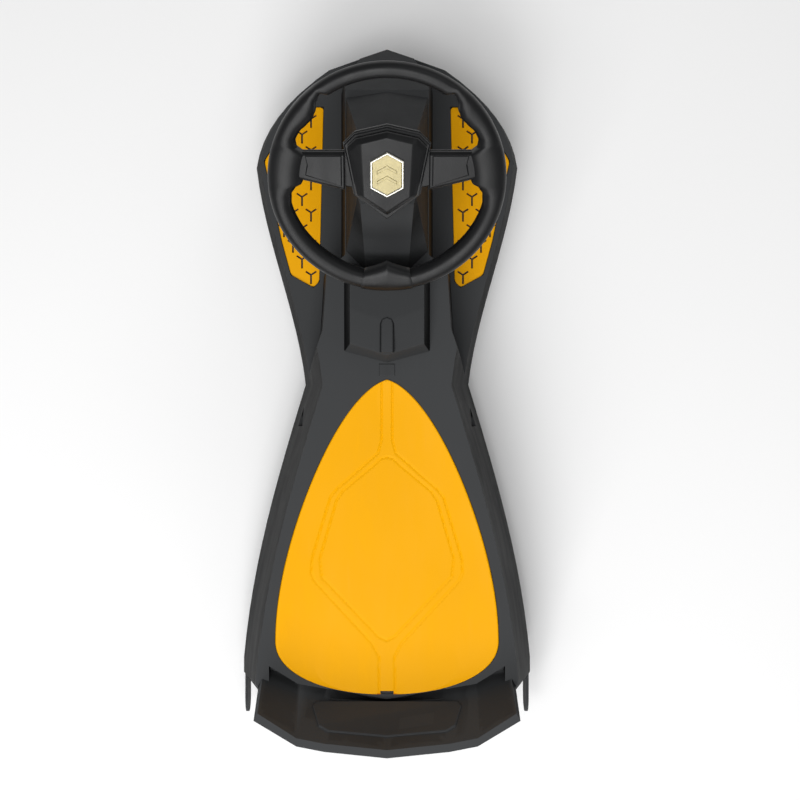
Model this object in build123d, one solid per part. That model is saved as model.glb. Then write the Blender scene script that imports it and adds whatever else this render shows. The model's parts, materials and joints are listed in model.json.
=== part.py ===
from build123d import *
import os
from math import hypot, pi, sin

# A child's swing car: a ride-on toy that the rider drives forward by wiggling its steering wheel.
# Frame: millimetres, +Z up, the nose points to -Y and +X is the rider's left. The origin is on the
# floor, in the middle of the car's length. Every piece is one solid or a group of equal solids.

# ---- lengths along the car, from nose to tail ----
nose_to_axis = 197.0  # nose tip to the steering shaft
axis_to_waist = 212.0  # steering shaft to the narrowest place
waist_to_axle = 313.0  # narrowest place to the rear axle
axle_to_tail = 98.0  # rear axle to the tail's tip
nose_y = -(nose_to_axis + axis_to_waist + waist_to_axle + axle_to_tail) / 2
steer_y = nose_y + nose_to_axis
waist_y = steer_y + axis_to_waist
axle_y = waist_y + waist_to_axle
tail_y = axle_y + axle_to_tail

# ---- body widths and levels ----
fender_width = 319.0  # across the front fenders, at the lip
waist_width = 199.0  # across the narrowest place
rear_width = 350.0  # across the rear skirts
wall = 3.0  # moulded wall
lip_z = 76.0  # lower edge of the upper shell
floor_z = 112.0  # foot wells
kerb_height = 6.0  # raised kerb round each foot well
deck_z = 212.0  # deck round the seat
skirt_slope = 26.0  # how far the sides lean in from the lip to the deck
fit_gap = 0.4  # gap between pieces that are screwed or snapped together

# ---- nose and rear corners of the body's plan ----
fender_to_axis = 53.0  # the widest place of the fenders lies this far ahead of the shaft
nose_half = 73.0  # half width of the pointed nose
nose_depth = 26.0  # length of the pointed nose
rear_end_past_axle = 60.0  # the upper shell's rear wall lies this far behind the axle
corner_length = 22.0  # length of the chamfered rear corner
corner_width = 17.0

# ---- spine between the foot wells, under the steering tower ----
spine_half = 55.0  # half width at the foot wells' floor, beside the tower
spine_lean = 7.5  # its walls lean in by this much up to the deck
rail_width = 21.0  # grey rail between the spine and each foot mat

# ---- steering ----
wheel_z = 348.0  # middle of the steering wheel
wheel_tilt = 28.0  # its plane leans towards the rider, in degrees
rim_radius = 113.0  # to the middle of the rim's tube
rim_tube = 12.0
rim_wall = 2.5
spoke_top = 31.0  # the spokes' front edge, ahead of the wheel's middle
spoke_bottom = 6.0  # the spokes' rear edge, behind the wheel's middle
spoke_depth = 16.0
shaft_radius = 6.0
running_gap = 0.05  # radial clearance of a shaft in its bush and of a wheel on its axle
bush_wall = 3.0
bush_flange = 3.0
tower_top_z = 300.0
tower_half = 46.5  # half width where the tower stands on the deck
tower_top_half = 31.5

upper_bush_low = 285.0
lower_bush_top = 100.0
shaft_low_z = 52.0
stem_top_z = 343.0  # the shaft's washer and nut sit here
hub_stem_radius = 13.0
stem_gap = 0.3  # between the stem and the upper bush's flange
nut_room = 11.0
pin_radius = 2.0
pin_z = 62.0  # cross pin through the yoke and the shaft
hub_flange = 5.0  # the hub's base stands out this far round the horn pad
hub_top = 6.0  # rim of the hub's base, above the wheel's plane
pad_half = 41.4  # half width of the horn pad
pad_low = 9.0
pad_top = 20.0
peg_radius = 3.0
peg_gap = 0.1
cover_half = 49.0  # half width of the raised cover on the neck
cover_top_half = 42.0
cover_rear_past_axis = 189.0
cover_top_z = 248.0
cover_ridge = 16.0

# ---- road wheels ----
front_wheel_radius = 35.0
front_wheel_width = 24.0
front_track = 90.0  # between the middles of the two front wheels
front_trail = 50.0  # the front axle trails behind the shaft
front_axle_radius = 4.0
rear_wheel_radius = 50.0
rear_wheel_width = 32.0
rear_track = 284.0
rear_axle_radius = 5.0
tyre_depth = 6.0
wheel_wall = 4.0
washer_thickness = 1.5

# ---- seat and foot mats ----
seat_tip_past_waist = -4.0  # the seat's tip lies this far behind the waist
seat_wide_share = 0.83  # where the seat is widest, as a share of its length
seat_length = 357.0
seat_half = 127.0
seat_thickness = 6.0
seat_pocket = 4.0  # depth of the seat's pocket in the deck
mat_thickness = 4.0
mat_outer = 147.0  # outer edge of a foot mat at the fender's widest place
mat_front_past_axis = 120.0  # its front end lies this far ahead of the shaft
mat_rear_past_axis = 96.0  # its rear end lies this far behind the shaft

# ---- tail with the low backrest ----
back_top_z = 276.0
back_foot_z = 120.0
back_floor_z = 190.0  # floor of the trough between seat and backrest
back_half = 146.0
back_lean = 35.0  # the backrest's face leans back by this much over its height
back_sweep = 40.0  # its ends come this far forward of its middle
back_ridge = 9.0  # thickness along the top
back_tuck = 0.16  # its back leans in by this share of the height, downwards

# ---- underbody ----
tub_z = 50.0  # bottom of the underbody between the wheels
front_floor_z = 84.0  # raised front of the underbody, over the front wheels
step_past_axis = 112.0  # the raised part ends this far behind the shaft
tub_top = 92.0  # top of the underbody's rim, inside the upper shell
well_half = 100.0  # inner walls of the rear wheel wells
arch_gap = 8.0  # between the rear tyre and its arch
arch_start = 26.0  # the guard plate starts this far behind the axle
arch_rear = 90.0  # and ends this far behind it
arch_low = 34.0  # lower edge of the guard plate
arch_inset = 1.5  # its outer face lies this far inside the rear skirt's lip
arch_plate = 3.5  # thickness of the arch plate

# ---- fasteners ----
screw_radius = 2.0
screw_head_radius = 4.0
screw_head_height = 2.4
boss_radius = 5.0


def mix(start, end, share):
    return start + (end - start) * share


def curve(function, steps):
    """Points of a curve: the function at the ends of equal steps from 0 to 1, without its start."""
    return [function(step / steps) for step in range(1, steps + 1)]


def moved_in(points, distance):
    """A +X half outline, from its front to its rear, with each edge moved in by a distance."""
    moved = []
    last = len(points) - 1
    for index, (x, y) in enumerate(points):
        before = points[index - 1] if index > 0 else (-points[1][0], points[1][1])
        after = points[index + 1] if index < last else (-points[-2][0], points[-2][1])
        normals = []
        for (from_x, from_y), (to_x, to_y) in ((before, (x, y)), ((x, y), after)):
            size = hypot(to_x - from_x, to_y - from_y)
            normals.append(((from_y - to_y) / size, (to_x - from_x) / size))
        (one_x, one_y), (two_x, two_y) = normals
        scale = distance / (1 + one_x * two_x + one_y * two_y)
        moved.append((x + (one_x + two_x) * scale, y + (one_y + two_y) * scale))
    moved[0] = (0.0, moved[0][1])
    moved[-1] = (0.0, moved[-1][1])
    return moved


def body_points():
    """The body's +X half outline at the lip: nose, fender, waist, rear skirt and rear corner."""
    fender_y = steer_y - fender_to_axis
    rear_y = axle_y + rear_end_past_axle
    fender, waist, rear = fender_width / 2, waist_width / 2, rear_width / 2
    nose_end_y = nose_y + nose_depth

    def corner(t):
        across = 1.8 * t * (1 - t) + t * t
        along = 0.9 * t * (1 - t) + t * t
        return mix(nose_half, fender, across), mix(nose_end_y, fender_y, along)

    def front(t):
        eased = (t + t * t * (3 - 2 * t)) / 2
        return mix(fender, waist, eased), mix(fender_y, waist_y, t)

    def back(t):
        eased = 0.4 * t + 0.6 * sin(pi / 2 * t)
        return mix(waist, rear, eased), mix(waist_y, axle_y + 20.0, t)

    nose = [(0.0, nose_y), (nose_half, nose_end_y)]
    end = [(rear, rear_y - corner_length), (rear - corner_width, rear_y), (0.0, rear_y)]
    return nose + curve(corner, 8) + curve(front, 12) + curve(back, 12) + end


def body_block(low_z, high_z, distance):
    """The whole body between two levels, its sides leaning in with the skirt's slope."""
    lean = skirt_slope / (deck_z - lip_z)
    low = moved_in(body_points(), distance + lean * (low_z - lip_z))
    high = moved_in(body_points(), distance + lean * (high_z - lip_z))
    return flat_sided(low, low_z, high, high_z)


def polygon_face(points, z):
    """A flat face over the mirrored polygon of +X half points, which start and end at X = 0."""
    full = points + [(-x, y) for x, y in reversed(points) if x > 0]
    return make_face(Polyline(*[(x, y, z) for x, y in full], close=True))


def prism(points, low_z, high_z):
    return extrude(polygon_face(points, low_z), high_z - low_z, dir=(0, 0, 1))


def tapered(low_points, low_z, high_points, high_z):
    """A solid between two mirrored polygons with as many corners at two levels."""
    return loft([polygon_face(low_points, low_z), polygon_face(high_points, high_z)], ruled=True)


def flat_sided(low_points, low_z, high_points, high_z):
    """The same for many corners, each edge parallel to the one above it, built face by face."""
    rings = []
    for points, z in ((low_points, low_z), (high_points, high_z)):
        full = points + [(-x, y) for x, y in reversed(points) if x > 0]
        rings.append([Vector(x, y, z) for x, y in full])
    low, high = rings
    loops = [low, high]
    for index in range(len(low)):
        loops.append([low[index - 1], low[index], high[index], high[index - 1]])
    faces = [Face(Wire.make_polygon(loop)) for loop in loops]
    return Solid(Shell(faces))


def slab(half, from_y, to_y, low_z, high_z):
    """A box across the car."""
    return Pos(0, (from_y + to_y) / 2, (low_z + high_z) / 2) * Box(
        2 * half, to_y - from_y, high_z - low_z
    )


def side_profile(points, half):
    """A solid with a (y, z) outline, as wide as the car's middle from -half to half."""
    face = make_face(Polyline(*[(-half, y, z) for y, z in points], close=True))
    return extrude(face, 2 * half, dir=(1, 0, 0))


def upright(radius, x, y, low_z, high_z):
    return Pos(x, y, (low_z + high_z) / 2) * Cylinder(radius, high_z - low_z)


def crosswise(radius, from_x, to_x, y, z):
    """A cylinder along the X axis."""
    middle = Pos((from_x + to_x) / 2, y, z) * Rot(0, 90, 0)
    return middle * Cylinder(radius, abs(to_x - from_x))


def both_sides(solid):
    return [solid, mirror(solid, Plane.YZ)]


def screw_up(x, y, head_z, length):
    """A pan-head screw driven upwards, its head's underside at head_z."""
    head = upright(screw_head_radius, x, y, head_z - screw_head_height, head_z)
    return head + upright(screw_radius, x, y, head_z, head_z + length)


# ---- upper shell ----
def spine_points(z, distance):
    """The spine's outline: a point at the nose, parallel beside the tower, then under the deck."""
    rise = (z - floor_z) / (deck_z - floor_z)
    half = spine_half - spine_lean * rise - distance
    rear = waist_width / 2 - distance
    return [
        (0.0, nose_y + 10.0 + distance),
        (half * 0.55, nose_y + 20.0 + distance),
        (half, steer_y - 135.0),
        (half, steer_y + 66.0),
        (half + rail_width, steer_y + 84.0),
        (half + rail_width + 4.0, steer_y + 150.0),
        (rear, waist_y + 14.0),
        (rear, waist_y + 60.0),
        (0.0, waist_y + 60.0),
    ]


def spine_block(distance):
    low_z, high_z = floor_z - 12, deck_z + 12
    low = spine_points(low_z, distance)
    return tapered(low, low_z, spine_points(high_z, distance), high_z)


def body_form(distance, kerb_z):
    """The upper shell's outer form, or its inner one at a distance, without its pockets."""
    form = body_block(lip_z - distance, deck_z - distance, distance)
    above_kerb = slab(400.0, nose_y - 10, waist_y + 50, kerb_z, deck_z + 1)
    form -= above_kerb - spine_block(distance)
    hood_end = nose_y + 5 + distance
    hood_rise = deck_z - kerb_z
    hood = [
        (steer_y - 121.0, deck_z - distance),
        (steer_y - 121.0, deck_z + hood_rise),
        (hood_end, deck_z + hood_rise),
        (hood_end, kerb_z),
    ]
    return form - side_profile(hood, 120.0)


def mat_points():
    """A foot mat's outline on the +X side, as full (x, y) corners."""
    inner, outer = spine_half + rail_width, mat_outer
    rear = steer_y + mat_rear_past_axis
    return [
        (inner, steer_y - mat_front_past_axis),
        (inner + 32.0, steer_y - mat_front_past_axis),
        (outer, steer_y - fender_to_axis - 2.0),
        (outer - 4.0, steer_y - 38.0),
        (outer - 21.0, steer_y + 41.0),
        (outer - 32.0, steer_y + 81.0),
        (inner + 12.0, rear),
        (inner + 5.0, rear - 7.0),
    ]


def mat_block(low_z, high_z, outward):
    face = make_face(Polyline(*[(x, y) for x, y in mat_points()], close=True))
    if outward:
        face = offset(face, outward, kind=Kind.INTERSECTION)
    return Pos(0, 0, low_z) * extrude(face, high_z - low_z)


def seat_points(distance):
    """The seat's +X half outline: a drop from its tip to its widest place, then a round rear."""
    tip = waist_y + seat_tip_past_waist
    wide = seat_length * seat_wide_share

    def side(t):
        return seat_half * sin(pi / 2 * t ** (0.68 + 0.3 * t)), tip + wide * t

    def rear(t):
        return (
            seat_half * (1 - t**2.15) ** (1 / 2.15),
            tip + wide + (seat_length - wide) * t,
        )

    shape = [(0.0, tip)] + curve(side, 12) + curve(rear, 9)
    return moved_in(shape[:-1] + [(0.0, shape[-1][1])], distance)


def seat_block(low_z, high_z, distance):
    return prism(seat_points(distance), low_z, high_z)


def back_points(z, distance):
    """The backrest's plan at a level: its front, swept forward at the ends, then its back."""
    rise = max((z - back_floor_z) / (back_top_z - back_floor_z), 0.0)
    top_y = tail_y - back_ridge
    rear_y = tail_y - back_tuck * (back_top_z - z)
    front = []
    for share, drop in ((0.0, 0.0), (0.47, 7.0), (0.68, 13.0), (0.97, back_sweep)):
        foot = top_y - back_lean - back_sweep * share / 0.97
        front.append((back_half * share, mix(foot, top_y - drop, rise)))
    points = front + [
        (back_half, front[-1][1] + 8.0),
        (back_half * 0.68, rear_y - 13.0),
        (back_half * 0.47, rear_y - 7.0),
        (0.0, rear_y),
    ]
    return moved_in(points, distance)


def back_block(distance, low_z, high_z):
    """The backrest's form: upright below the trough's floor, leaning back above it."""
    low = back_points(low_z, distance)
    middle = back_points(back_floor_z, distance)
    high = back_points(high_z, distance)
    foot = tapered(low, low_z, middle, back_floor_z)
    return foot + tapered(middle, back_floor_z, high, high_z)


def trough():
    """The deep trough between the seat's rear edge and the backrest."""
    seat_rear = waist_y + seat_tip_past_waist + seat_length
    return [
        (0.0, seat_rear + 6.0),
        (seat_half * 0.80, seat_rear - 12.0),
        (back_half - 12.0, seat_rear - 32.0),
        (back_half - 12.0, axle_y + 40.0),
        (0.0, axle_y + 50.0),
    ]


def shell_screw_places():
    """Screw bosses that join the two shells, as (x, y) of the +X side."""
    return [
        (nose_half * 0.75, steer_y - 128.0),
        (118.0, steer_y + 20.0),
        (60.0, waist_y - 20.0),
        (86.0, waist_y + 130.0),
        (86.0, axle_y - 85.0),
    ]


def tower_screw_places():
    return [(32.0, steer_y - 78.0), (32.0, steer_y + 48.0)]


def back_screw_places():
    return [(45.0, axle_y + 61.0), (122.0, axle_y + 30.0)]


def roof_over(y):
    """Underside of the upper shell over a screw boss."""
    if y < waist_y - 60:
        return floor_z - wall
    if y < waist_y + seat_tip_past_waist:
        return deck_z - wall
    return deck_z - seat_pocket - wall


def bush_hole():
    return shaft_radius + running_gap + bush_wall


def make_upper_shell():
    shell = body_form(0.0, floor_z + kerb_height)
    for well in both_sides(mat_block(floor_z, deck_z, fit_gap)):
        shell -= well
    shell -= body_form(wall, floor_z - wall)
    pan = seat_block(deck_z - seat_pocket - wall, deck_z - wall + 0.5, -fit_gap - wall)
    shell += pan
    shell += prism(moved_in(trough(), -wall), back_floor_z - wall, deck_z - wall)
    shell -= seat_block(deck_z - seat_pocket, deck_z + 1, -fit_gap)
    shell -= prism(trough(), back_floor_z, deck_z + 1)
    shelf_top = back_foot_z - fit_gap
    shell += prism(back_points(back_foot_z, 0.0), shelf_top - wall, shelf_top)
    shell -= back_block(-fit_gap, shelf_top, back_top_z)
    for x, y in shell_screw_places():
        for boss in both_sides(upright(boss_radius, x, y, tub_top, roof_over(y) + 1)):
            shell += boss
        for hole in both_sides(upright(screw_radius, x, y, tub_top - 1, tub_top + 14)):
            shell -= hole
    for x, y in tower_screw_places():
        for hole in both_sides(upright(screw_radius + 0.3, x, y, deck_z - wall - 1, deck_z + 1)):
            shell -= hole
    for x, y in back_screw_places():
        for hole in both_sides(upright(screw_radius + 0.3, x, y, shelf_top - wall - 1, shelf_top + 1)):
            shell -= hole
    return shell - upright(bush_hole(), 0, steer_y, deck_z - wall - 1, deck_z + 1)


# ---- underbody ----
def tub_points():
    """Plan of the deep part of the underbody, between the rear wheel wells."""
    start = steer_y + step_past_axis
    rear = axle_y + rear_end_past_axle - 12.0
    waist = waist_width / 2 - 12.0
    return [
        (0.0, start),
        (waist, start),
        (waist, waist_y),
        (well_half, axle_y - 110.0),
        (well_half, rear),
        (0.0, rear),
    ]


def arch_solid():
    """The guard plate behind one rear wheel, on the +X side, and the bracket that carries it."""
    outside = rear_width / 2 - arch_inset
    start, end = axle_y + arch_start, axle_y + arch_rear
    top = lip_z - fit_gap
    corners = [(start, top), (start, arch_low + 26.0), (start + 20.0, arch_low), (end, arch_low), (end, top)]
    outline = Polyline(*[(outside, y, z) for y, z in corners], close=True)
    plate = extrude(make_face(outline), arch_plate, dir=(-1, 0, 0))
    rear_edges = plate.edges().filter_by(Axis.X).sort_by(Axis.Y)[-2:]
    plate = fillet(rear_edges, (top - arch_low) / 2 - 1.0)
    lean = skirt_slope / (deck_z - lip_z)
    rim_x = rear_width / 2 - wall - fit_gap - lean * (tub_top - lip_z)
    arm_end = axle_y + rear_end_past_axle - corner_length - 4.0
    arm = block(rim_x - wall, outside, start, arm_end, top - wall, top)
    return plate + arm + block(rim_x - wall, rim_x, start, arm_end, top - wall, tub_top)


def well_blocks():
    """One rear wheel well, on the +X side: its outside, inside the upper shell, and its hollow."""
    reach = rear_wheel_radius + arch_gap
    roof = rear_wheel_radius + reach
    outside = block(well_half - wall, rear_width / 2, -reach - wall, reach + wall, tub_z, roof + wall)
    outside = Pos(0, axle_y, 0) * outside
    inset = wall + fit_gap
    keep = body_block(lip_z, roof + 20, inset) + prism(moved_in(body_points(), inset), 0, lip_z)
    outer_x = rear_track / 2 + rear_wheel_width / 2 + 4.0
    hollow = block(well_half, outer_x, -reach, reach, 0, roof)
    return outside & keep, Pos(0, axle_y, 0) * hollow


def make_lower_shell():
    inset = wall + fit_gap
    pan = body_block(front_floor_z, tub_top, inset) + prism(tub_points(), tub_z, tub_top)
    inside = body_block(front_floor_z + wall, tub_top + 1, inset + wall)
    inside += prism(moved_in(tub_points(), wall), tub_z + wall, tub_top + 1)
    shell = pan - inside
    outside, hollow = well_blocks()
    for piece in both_sides(outside):
        shell += piece
    for piece in both_sides(hollow):
        shell -= piece
    for plate in both_sides(arch_solid()):
        shell += plate
    for x, y in shell_screw_places():
        low = front_floor_z if y < steer_y + step_past_axis else tub_z
        post = upright(boss_radius + 2, x, y, low, tub_top)
        bore = upright(screw_radius + 0.3, x, y, low - 1, tub_top + 1)
        counterbore = upright(screw_head_radius + 0.4, x, y, low - 1, front_floor_z)
        for piece in both_sides(post):
            shell += piece
        for piece in both_sides(bore + counterbore):
            shell -= piece
    shell += upright(bush_hole() + 5, 0, steer_y, front_floor_z, lower_bush_top)
    shell -= upright(bush_hole(), 0, steer_y, front_floor_z - 1, lower_bush_top + 1)
    return shell - crosswise(
        rear_axle_radius, -well_half - wall - 1, well_half + wall + 1, axle_y, rear_wheel_radius
    )


# ---- seat, mats, backrest ----
def make_seat_panel():
    low = deck_z - seat_pocket
    return seat_block(low, low + seat_thickness, 0.0)


def make_foot_mat():
    return mat_block(floor_z, floor_z + mat_thickness, 0.0)


def make_backrest():
    shell = back_block(0.0, back_foot_z, back_top_z)
    shell -= back_block(wall, back_foot_z - 1, back_top_z - wall)
    for x, y in back_screw_places():
        boss = upright(boss_radius, x, y, back_foot_z, back_foot_z + 60)
        boss += block(x - 1.5, x + 1.5, y - 40, y + 40, back_foot_z, back_foot_z + 60)
        for piece in both_sides(boss & back_block(0.5, back_foot_z, back_top_z)):
            shell += piece
        for hole in both_sides(upright(screw_radius, x, y, back_foot_z - 1, back_foot_z + 14)):
            shell -= hole
    return shell


# ---- steering tower ----
def tower_points(at_top, distance):
    if at_top:
        points = [(0.0, -60.0), (tower_top_half, -56.0), (tower_top_half, 12.0), (29.0, 20.0), (0.0, 20.0)]
    else:
        points = [(0.0, -119.0), (tower_half, -112.0), (tower_half, 62.0), (24.0, 84.0), (0.0, 84.0)]
    return moved_in([(x, steer_y + y) for x, y in points], distance)


def make_steering_tower():
    low, high = tower_points(False, 0.0), tower_points(True, 0.0)
    inner_low, inner_high = tower_points(False, wall + 1.0), tower_points(True, wall + 1.0)
    shell = tapered(low, deck_z, high, tower_top_z)
    shell -= tapered(inner_low, deck_z - 0.01, inner_high, tower_top_z - wall)
    boss = upright(bush_hole() + 4, 0, steer_y, upper_bush_low, tower_top_z)
    shell += boss
    for x, y in tower_screw_places():
        inside = tapered(tower_points(False, 1.0), deck_z, tower_points(True, 1.0), tower_top_z)
        post = upright(boss_radius, x, y, deck_z, deck_z + 22)
        post += block(x, tower_half, y - 1.5, y + 1.5, deck_z, deck_z + 22)
        for piece in both_sides(post & inside):
            shell += piece
        for hole in both_sides(upright(screw_radius, x, y, deck_z - 1, deck_z + 14)):
            shell -= hole
    return shell - upright(bush_hole(), 0, steer_y, upper_bush_low - 1, tower_top_z + 1)


def cover_points(at_top, distance):
    """Plan of the raised cover on the neck, behind the tower."""
    half = cover_top_half if at_top else cover_half
    rear = cover_rear_past_axis - (8.0 if at_top else 0.0)
    points = [(0.0, 84.0 + fit_gap), (half, 84.0 + fit_gap), (half, rear - 13.0), (0.0, rear)]
    return moved_in([(x, steer_y + y) for x, y in points], distance)


def make_tower_cover():
    cover = tapered(cover_points(False, 0.0), deck_z, cover_points(True, 0.0), cover_top_z)
    inner = tapered(
        cover_points(False, wall), deck_z - 0.01, cover_points(True, wall), cover_top_z - wall
    )
    ridge = slab(cover_ridge / 2, steer_y + 130.0, steer_y + 164.0, cover_top_z - 1, cover_top_z + 2.5)
    return cover - inner + ridge


def make_screw_cap():
    y = steer_y + cover_rear_past_axis + 1.0
    return slab(9.0, y, y + 14.0, deck_z, deck_z + 1.2)


# ---- steering ----
def on_wheel(solid):
    """Puts a solid from the wheel's own frame into the car: its y runs down the tilt to the rider."""
    return Pos(0, steer_y, wheel_z) * Rot(-wheel_tilt, 0, 0) * solid


def ring(low_radius, high_radius, low_z, high_z):
    middle = Pos(0, 0, (low_z + high_z) / 2)
    return middle * (Cylinder(high_radius, high_z - low_z) - Cylinder(low_radius, high_z - low_z))


def block(from_x, to_x, from_y, to_y, from_z, to_z):
    middle = Pos((from_x + to_x) / 2, (from_y + to_y) / 2, (from_z + to_z) / 2)
    return middle * Box(to_x - from_x, to_y - from_y, to_z - from_z)


def hub_points(distance):
    """The horn pad's outline in the wheel's frame."""
    points = [(0.0, -55.0), (32.0, -47.6), (41.4, -38.0), (31.5, 14.4), (0.0, 35.6)]
    return moved_in(points, distance)


def pad_prism(distance, low_z, high_z):
    return prism(hub_points(distance), low_z, high_z)


def hub_screw_places():
    return [(26.0, -41.0), (25.0, 16.0)]


def spoke_screw_places():
    return [(76.0, -12.0)]


def spoke_block(low_z, high_z, inset, from_x):
    return block(
        from_x, rim_radius - 4, -spoke_top + inset, spoke_bottom - inset, low_z, high_z
    )


def rim_half(upper):
    """Half of the hollow rim tube, split in the wheel's plane."""
    rim = Torus(rim_radius, rim_tube) - Torus(rim_radius, rim_tube - rim_wall)
    reach = rim_radius + 2 * rim_tube
    half = block(-reach, reach, -reach, reach, 0, rim_tube + 1)
    return rim & (half if upper else mirror(half, Plane.XY))


def rim_inside():
    return Torus(rim_radius, rim_tube - rim_wall)


def make_wheel_front_shell():
    shell = rim_half(True)
    start = pad_half + hub_flange + fit_gap
    for spoke in both_sides(spoke_block(0, spoke_depth / 2, 0.0, start)):
        shell += spoke - rim_inside()
    for hollow in both_sides(spoke_block(-1, spoke_depth / 2 - rim_wall, rim_wall, start + rim_wall)):
        shell -= hollow & block(-rim_radius + 12, rim_radius - 12, -90, 90, -2, 20)
    for x, y in spoke_screw_places():
        for boss in both_sides(upright(4.0, x, y, 0, spoke_depth / 2 - 1)):
            shell += boss
        for hole in both_sides(upright(screw_radius, x, y, -1, 5)):
            shell -= hole
    return shell


def make_wheel_back_shell():
    shell = rim_half(False)
    for spoke in both_sides(spoke_block(-spoke_depth / 2, 0, 0.0, 20.0)):
        shell += spoke - rim_inside()
    shell += pad_prism(-hub_flange, -spoke_depth / 2, 0)
    start = pad_half + hub_flange + rim_wall
    for hollow in both_sides(spoke_block(-spoke_depth / 2 + rim_wall, 1, rim_wall, start)):
        shell -= hollow & block(-rim_radius + 12, rim_radius - 12, -90, 90, -20, 2)
    for x, y in spoke_screw_places():
        for boss in both_sides(upright(4.0, x, y, -spoke_depth / 2 + 1, 0)):
            shell += boss
    for x, y in spoke_screw_places() + hub_screw_places():
        for hole in both_sides(upright(screw_radius + 0.2, x, y, -spoke_depth, 1)):
            shell -= hole
    return shell - plumb(hub_stem_radius + fit_gap, tower_top_z, wheel_z + 40)


def plumb(radius, low_z, high_z):
    """An upright cylinder round the steering axis, in the wheel's frame."""
    return Rot(wheel_tilt, 0, 0) * upright(radius, 0, 0, low_z - wheel_z, high_z - wheel_z)


def make_hub_base():
    base = pad_prism(-hub_flange, 0.0, hub_top)
    base -= pad_prism(wall, wall, hub_top + 1)
    for x, y in spring_places():
        for sleeve in both_sides(upright(peg_radius + 2.5, x, y - 14, wall - 1, hub_top - 1)):
            base += sleeve
        for hole in both_sides(upright(peg_radius + peg_gap, x, y - 14, -1, hub_top)):
            base -= hole
    for x, y in hub_screw_places():
        for boss in both_sides(upright(4.0, x, y, wall - 1, hub_top - 1)):
            base += boss
        for hole in both_sides(upright(screw_radius, x, y, -1, hub_top - 2)):
            base -= hole
    stem_low = tower_top_z + bush_flange + stem_gap
    base += plumb(hub_stem_radius, stem_low, stem_top_z)
    base -= plumb(nut_room, stem_top_z, wheel_z + 40)
    return base - plumb(shaft_radius, stem_low - 1, stem_top_z + 1)


def spring_places():
    return [(26.0, -12.0)]


def make_horn_pad():
    pad = pad_prism(0.0, pad_low, pad_top) - pad_prism(wall, pad_low - 1, pad_top - wall)
    for x, y in spring_places():
        for peg in both_sides(upright(peg_radius, x, y - 14, pad_low - 6, pad_top - wall + 0.5)):
            pad += peg
    return pad


def badge_points(distance):
    """A long hexagon in the wheel's frame."""
    points = [(0.0, -36.0), (17.5, -26.0), (17.5, 3.0), (0.0, 13.0)]
    return moved_in(points, distance)


def make_badge_bezel():
    return prism(badge_points(0.0), pad_top, pad_top + 2.0) - prism(
        badge_points(2.5), pad_top - 1, pad_top + 3.0
    )


def make_badge_plate():
    return prism(badge_points(2.5 + 0.1), pad_top, pad_top + 1.2)


def make_horn_springs():
    """Two compression springs, each a plain helix between the hub's floor and the pad's roof."""
    low, high = wall + 0.8, pad_top - wall - 0.8
    x, y = spring_places()[0]
    path = Helix(pitch=3.0, height=high - low, radius=3.2)
    profile = Plane(origin=path @ 0, z_dir=path % 0) * Circle(0.5)
    spring = Pos(x, y, low) * sweep(profile, path)
    return [spring, mirror(spring, Plane.YZ)]


def make_spoke_trim():
    start = pad_half + hub_flange + fit_gap
    top = spoke_depth / 2 + 2
    return block(start, 85.0, -spoke_top + 2, spoke_bottom - 2, spoke_depth / 2, top)


def make_rim_trim():
    """The clip-on sleeve at the bottom of the rim."""
    sleeve = Torus(rim_radius, rim_tube + 1.5) - Torus(rim_radius, rim_tube)
    return sleeve & block(-27.0, 27.0, 80.0, 140.0, 0.0, rim_tube + 2)


def make_wheel_screws():
    back = -spoke_depth / 2
    screws = [screw_up(x, y, back, 12.0) for x, y in hub_screw_places() + spoke_screw_places()]
    return [on_wheel(piece) for screw in screws for piece in both_sides(screw)]


def make_steering_shaft():
    shaft = upright(shaft_radius, 0, steer_y, shaft_low_z, stem_top_z + 10.0)
    return shaft - crosswise(pin_radius, -20, 20, steer_y, pin_z)


def make_shaft_washer():
    return Pos(0, steer_y, stem_top_z) * ring(shaft_radius, 9.5, 0, washer_thickness)


def make_shaft_nut():
    low = stem_top_z + washer_thickness
    nut = Pos(0, steer_y, low) * extrude(RegularPolygon(9.0, 6), 6.5)
    return nut - upright(shaft_radius, 0, steer_y, low - 1, low + 8)


def make_upper_bush():
    bush = ring(shaft_radius + running_gap, bush_hole(), upper_bush_low, tower_top_z)
    flange = ring(shaft_radius + running_gap, bush_hole() + 3, tower_top_z, tower_top_z + bush_flange)
    return Pos(0, steer_y, 0) * (bush + flange)


def make_lower_bush():
    bush = ring(shaft_radius + running_gap, bush_hole(), front_floor_z, lower_bush_top)
    low = front_floor_z - 2.0
    flange = ring(shaft_radius + running_gap, bush_hole() + 3, low, front_floor_z)
    return Pos(0, steer_y, 0) * (bush + flange)


def make_yoke():
    top = front_floor_z - 2.3
    plate_low = top - 7.0
    axle_at = steer_y + front_trail
    arm_in, arm_out = yoke_arm()
    plate = block(-arm_out, arm_out, steer_y - 20, axle_at + 14, plate_low, top)
    arms = [
        block(arm_in, arm_out, axle_at - 14, axle_at + 14, front_wheel_radius, top)
        + crosswise(14.0, arm_in, arm_out, axle_at, front_wheel_radius)
    ]
    yoke = plate + upright(14.0, 0, steer_y, shaft_low_z + 2, top)
    for arm in arms:
        for piece in both_sides(arm):
            yoke += piece
    yoke -= upright(shaft_radius, 0, steer_y, 0, front_floor_z)
    yoke -= crosswise(front_axle_radius, -60, 60, axle_at, front_wheel_radius)
    return yoke - crosswise(pin_radius, -20, 20, steer_y, pin_z)


def yoke_arm():
    outside = front_track / 2 - front_wheel_width / 2 - washer_thickness
    return outside - 7.0, outside


def make_yoke_pin():
    return crosswise(pin_radius, -14, 14, steer_y, pin_z)


def make_front_axle():
    reach = front_track / 2 + front_wheel_width / 2 + washer_thickness + 3.0
    return crosswise(front_axle_radius, -reach, reach, steer_y + front_trail, front_wheel_radius)


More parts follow.
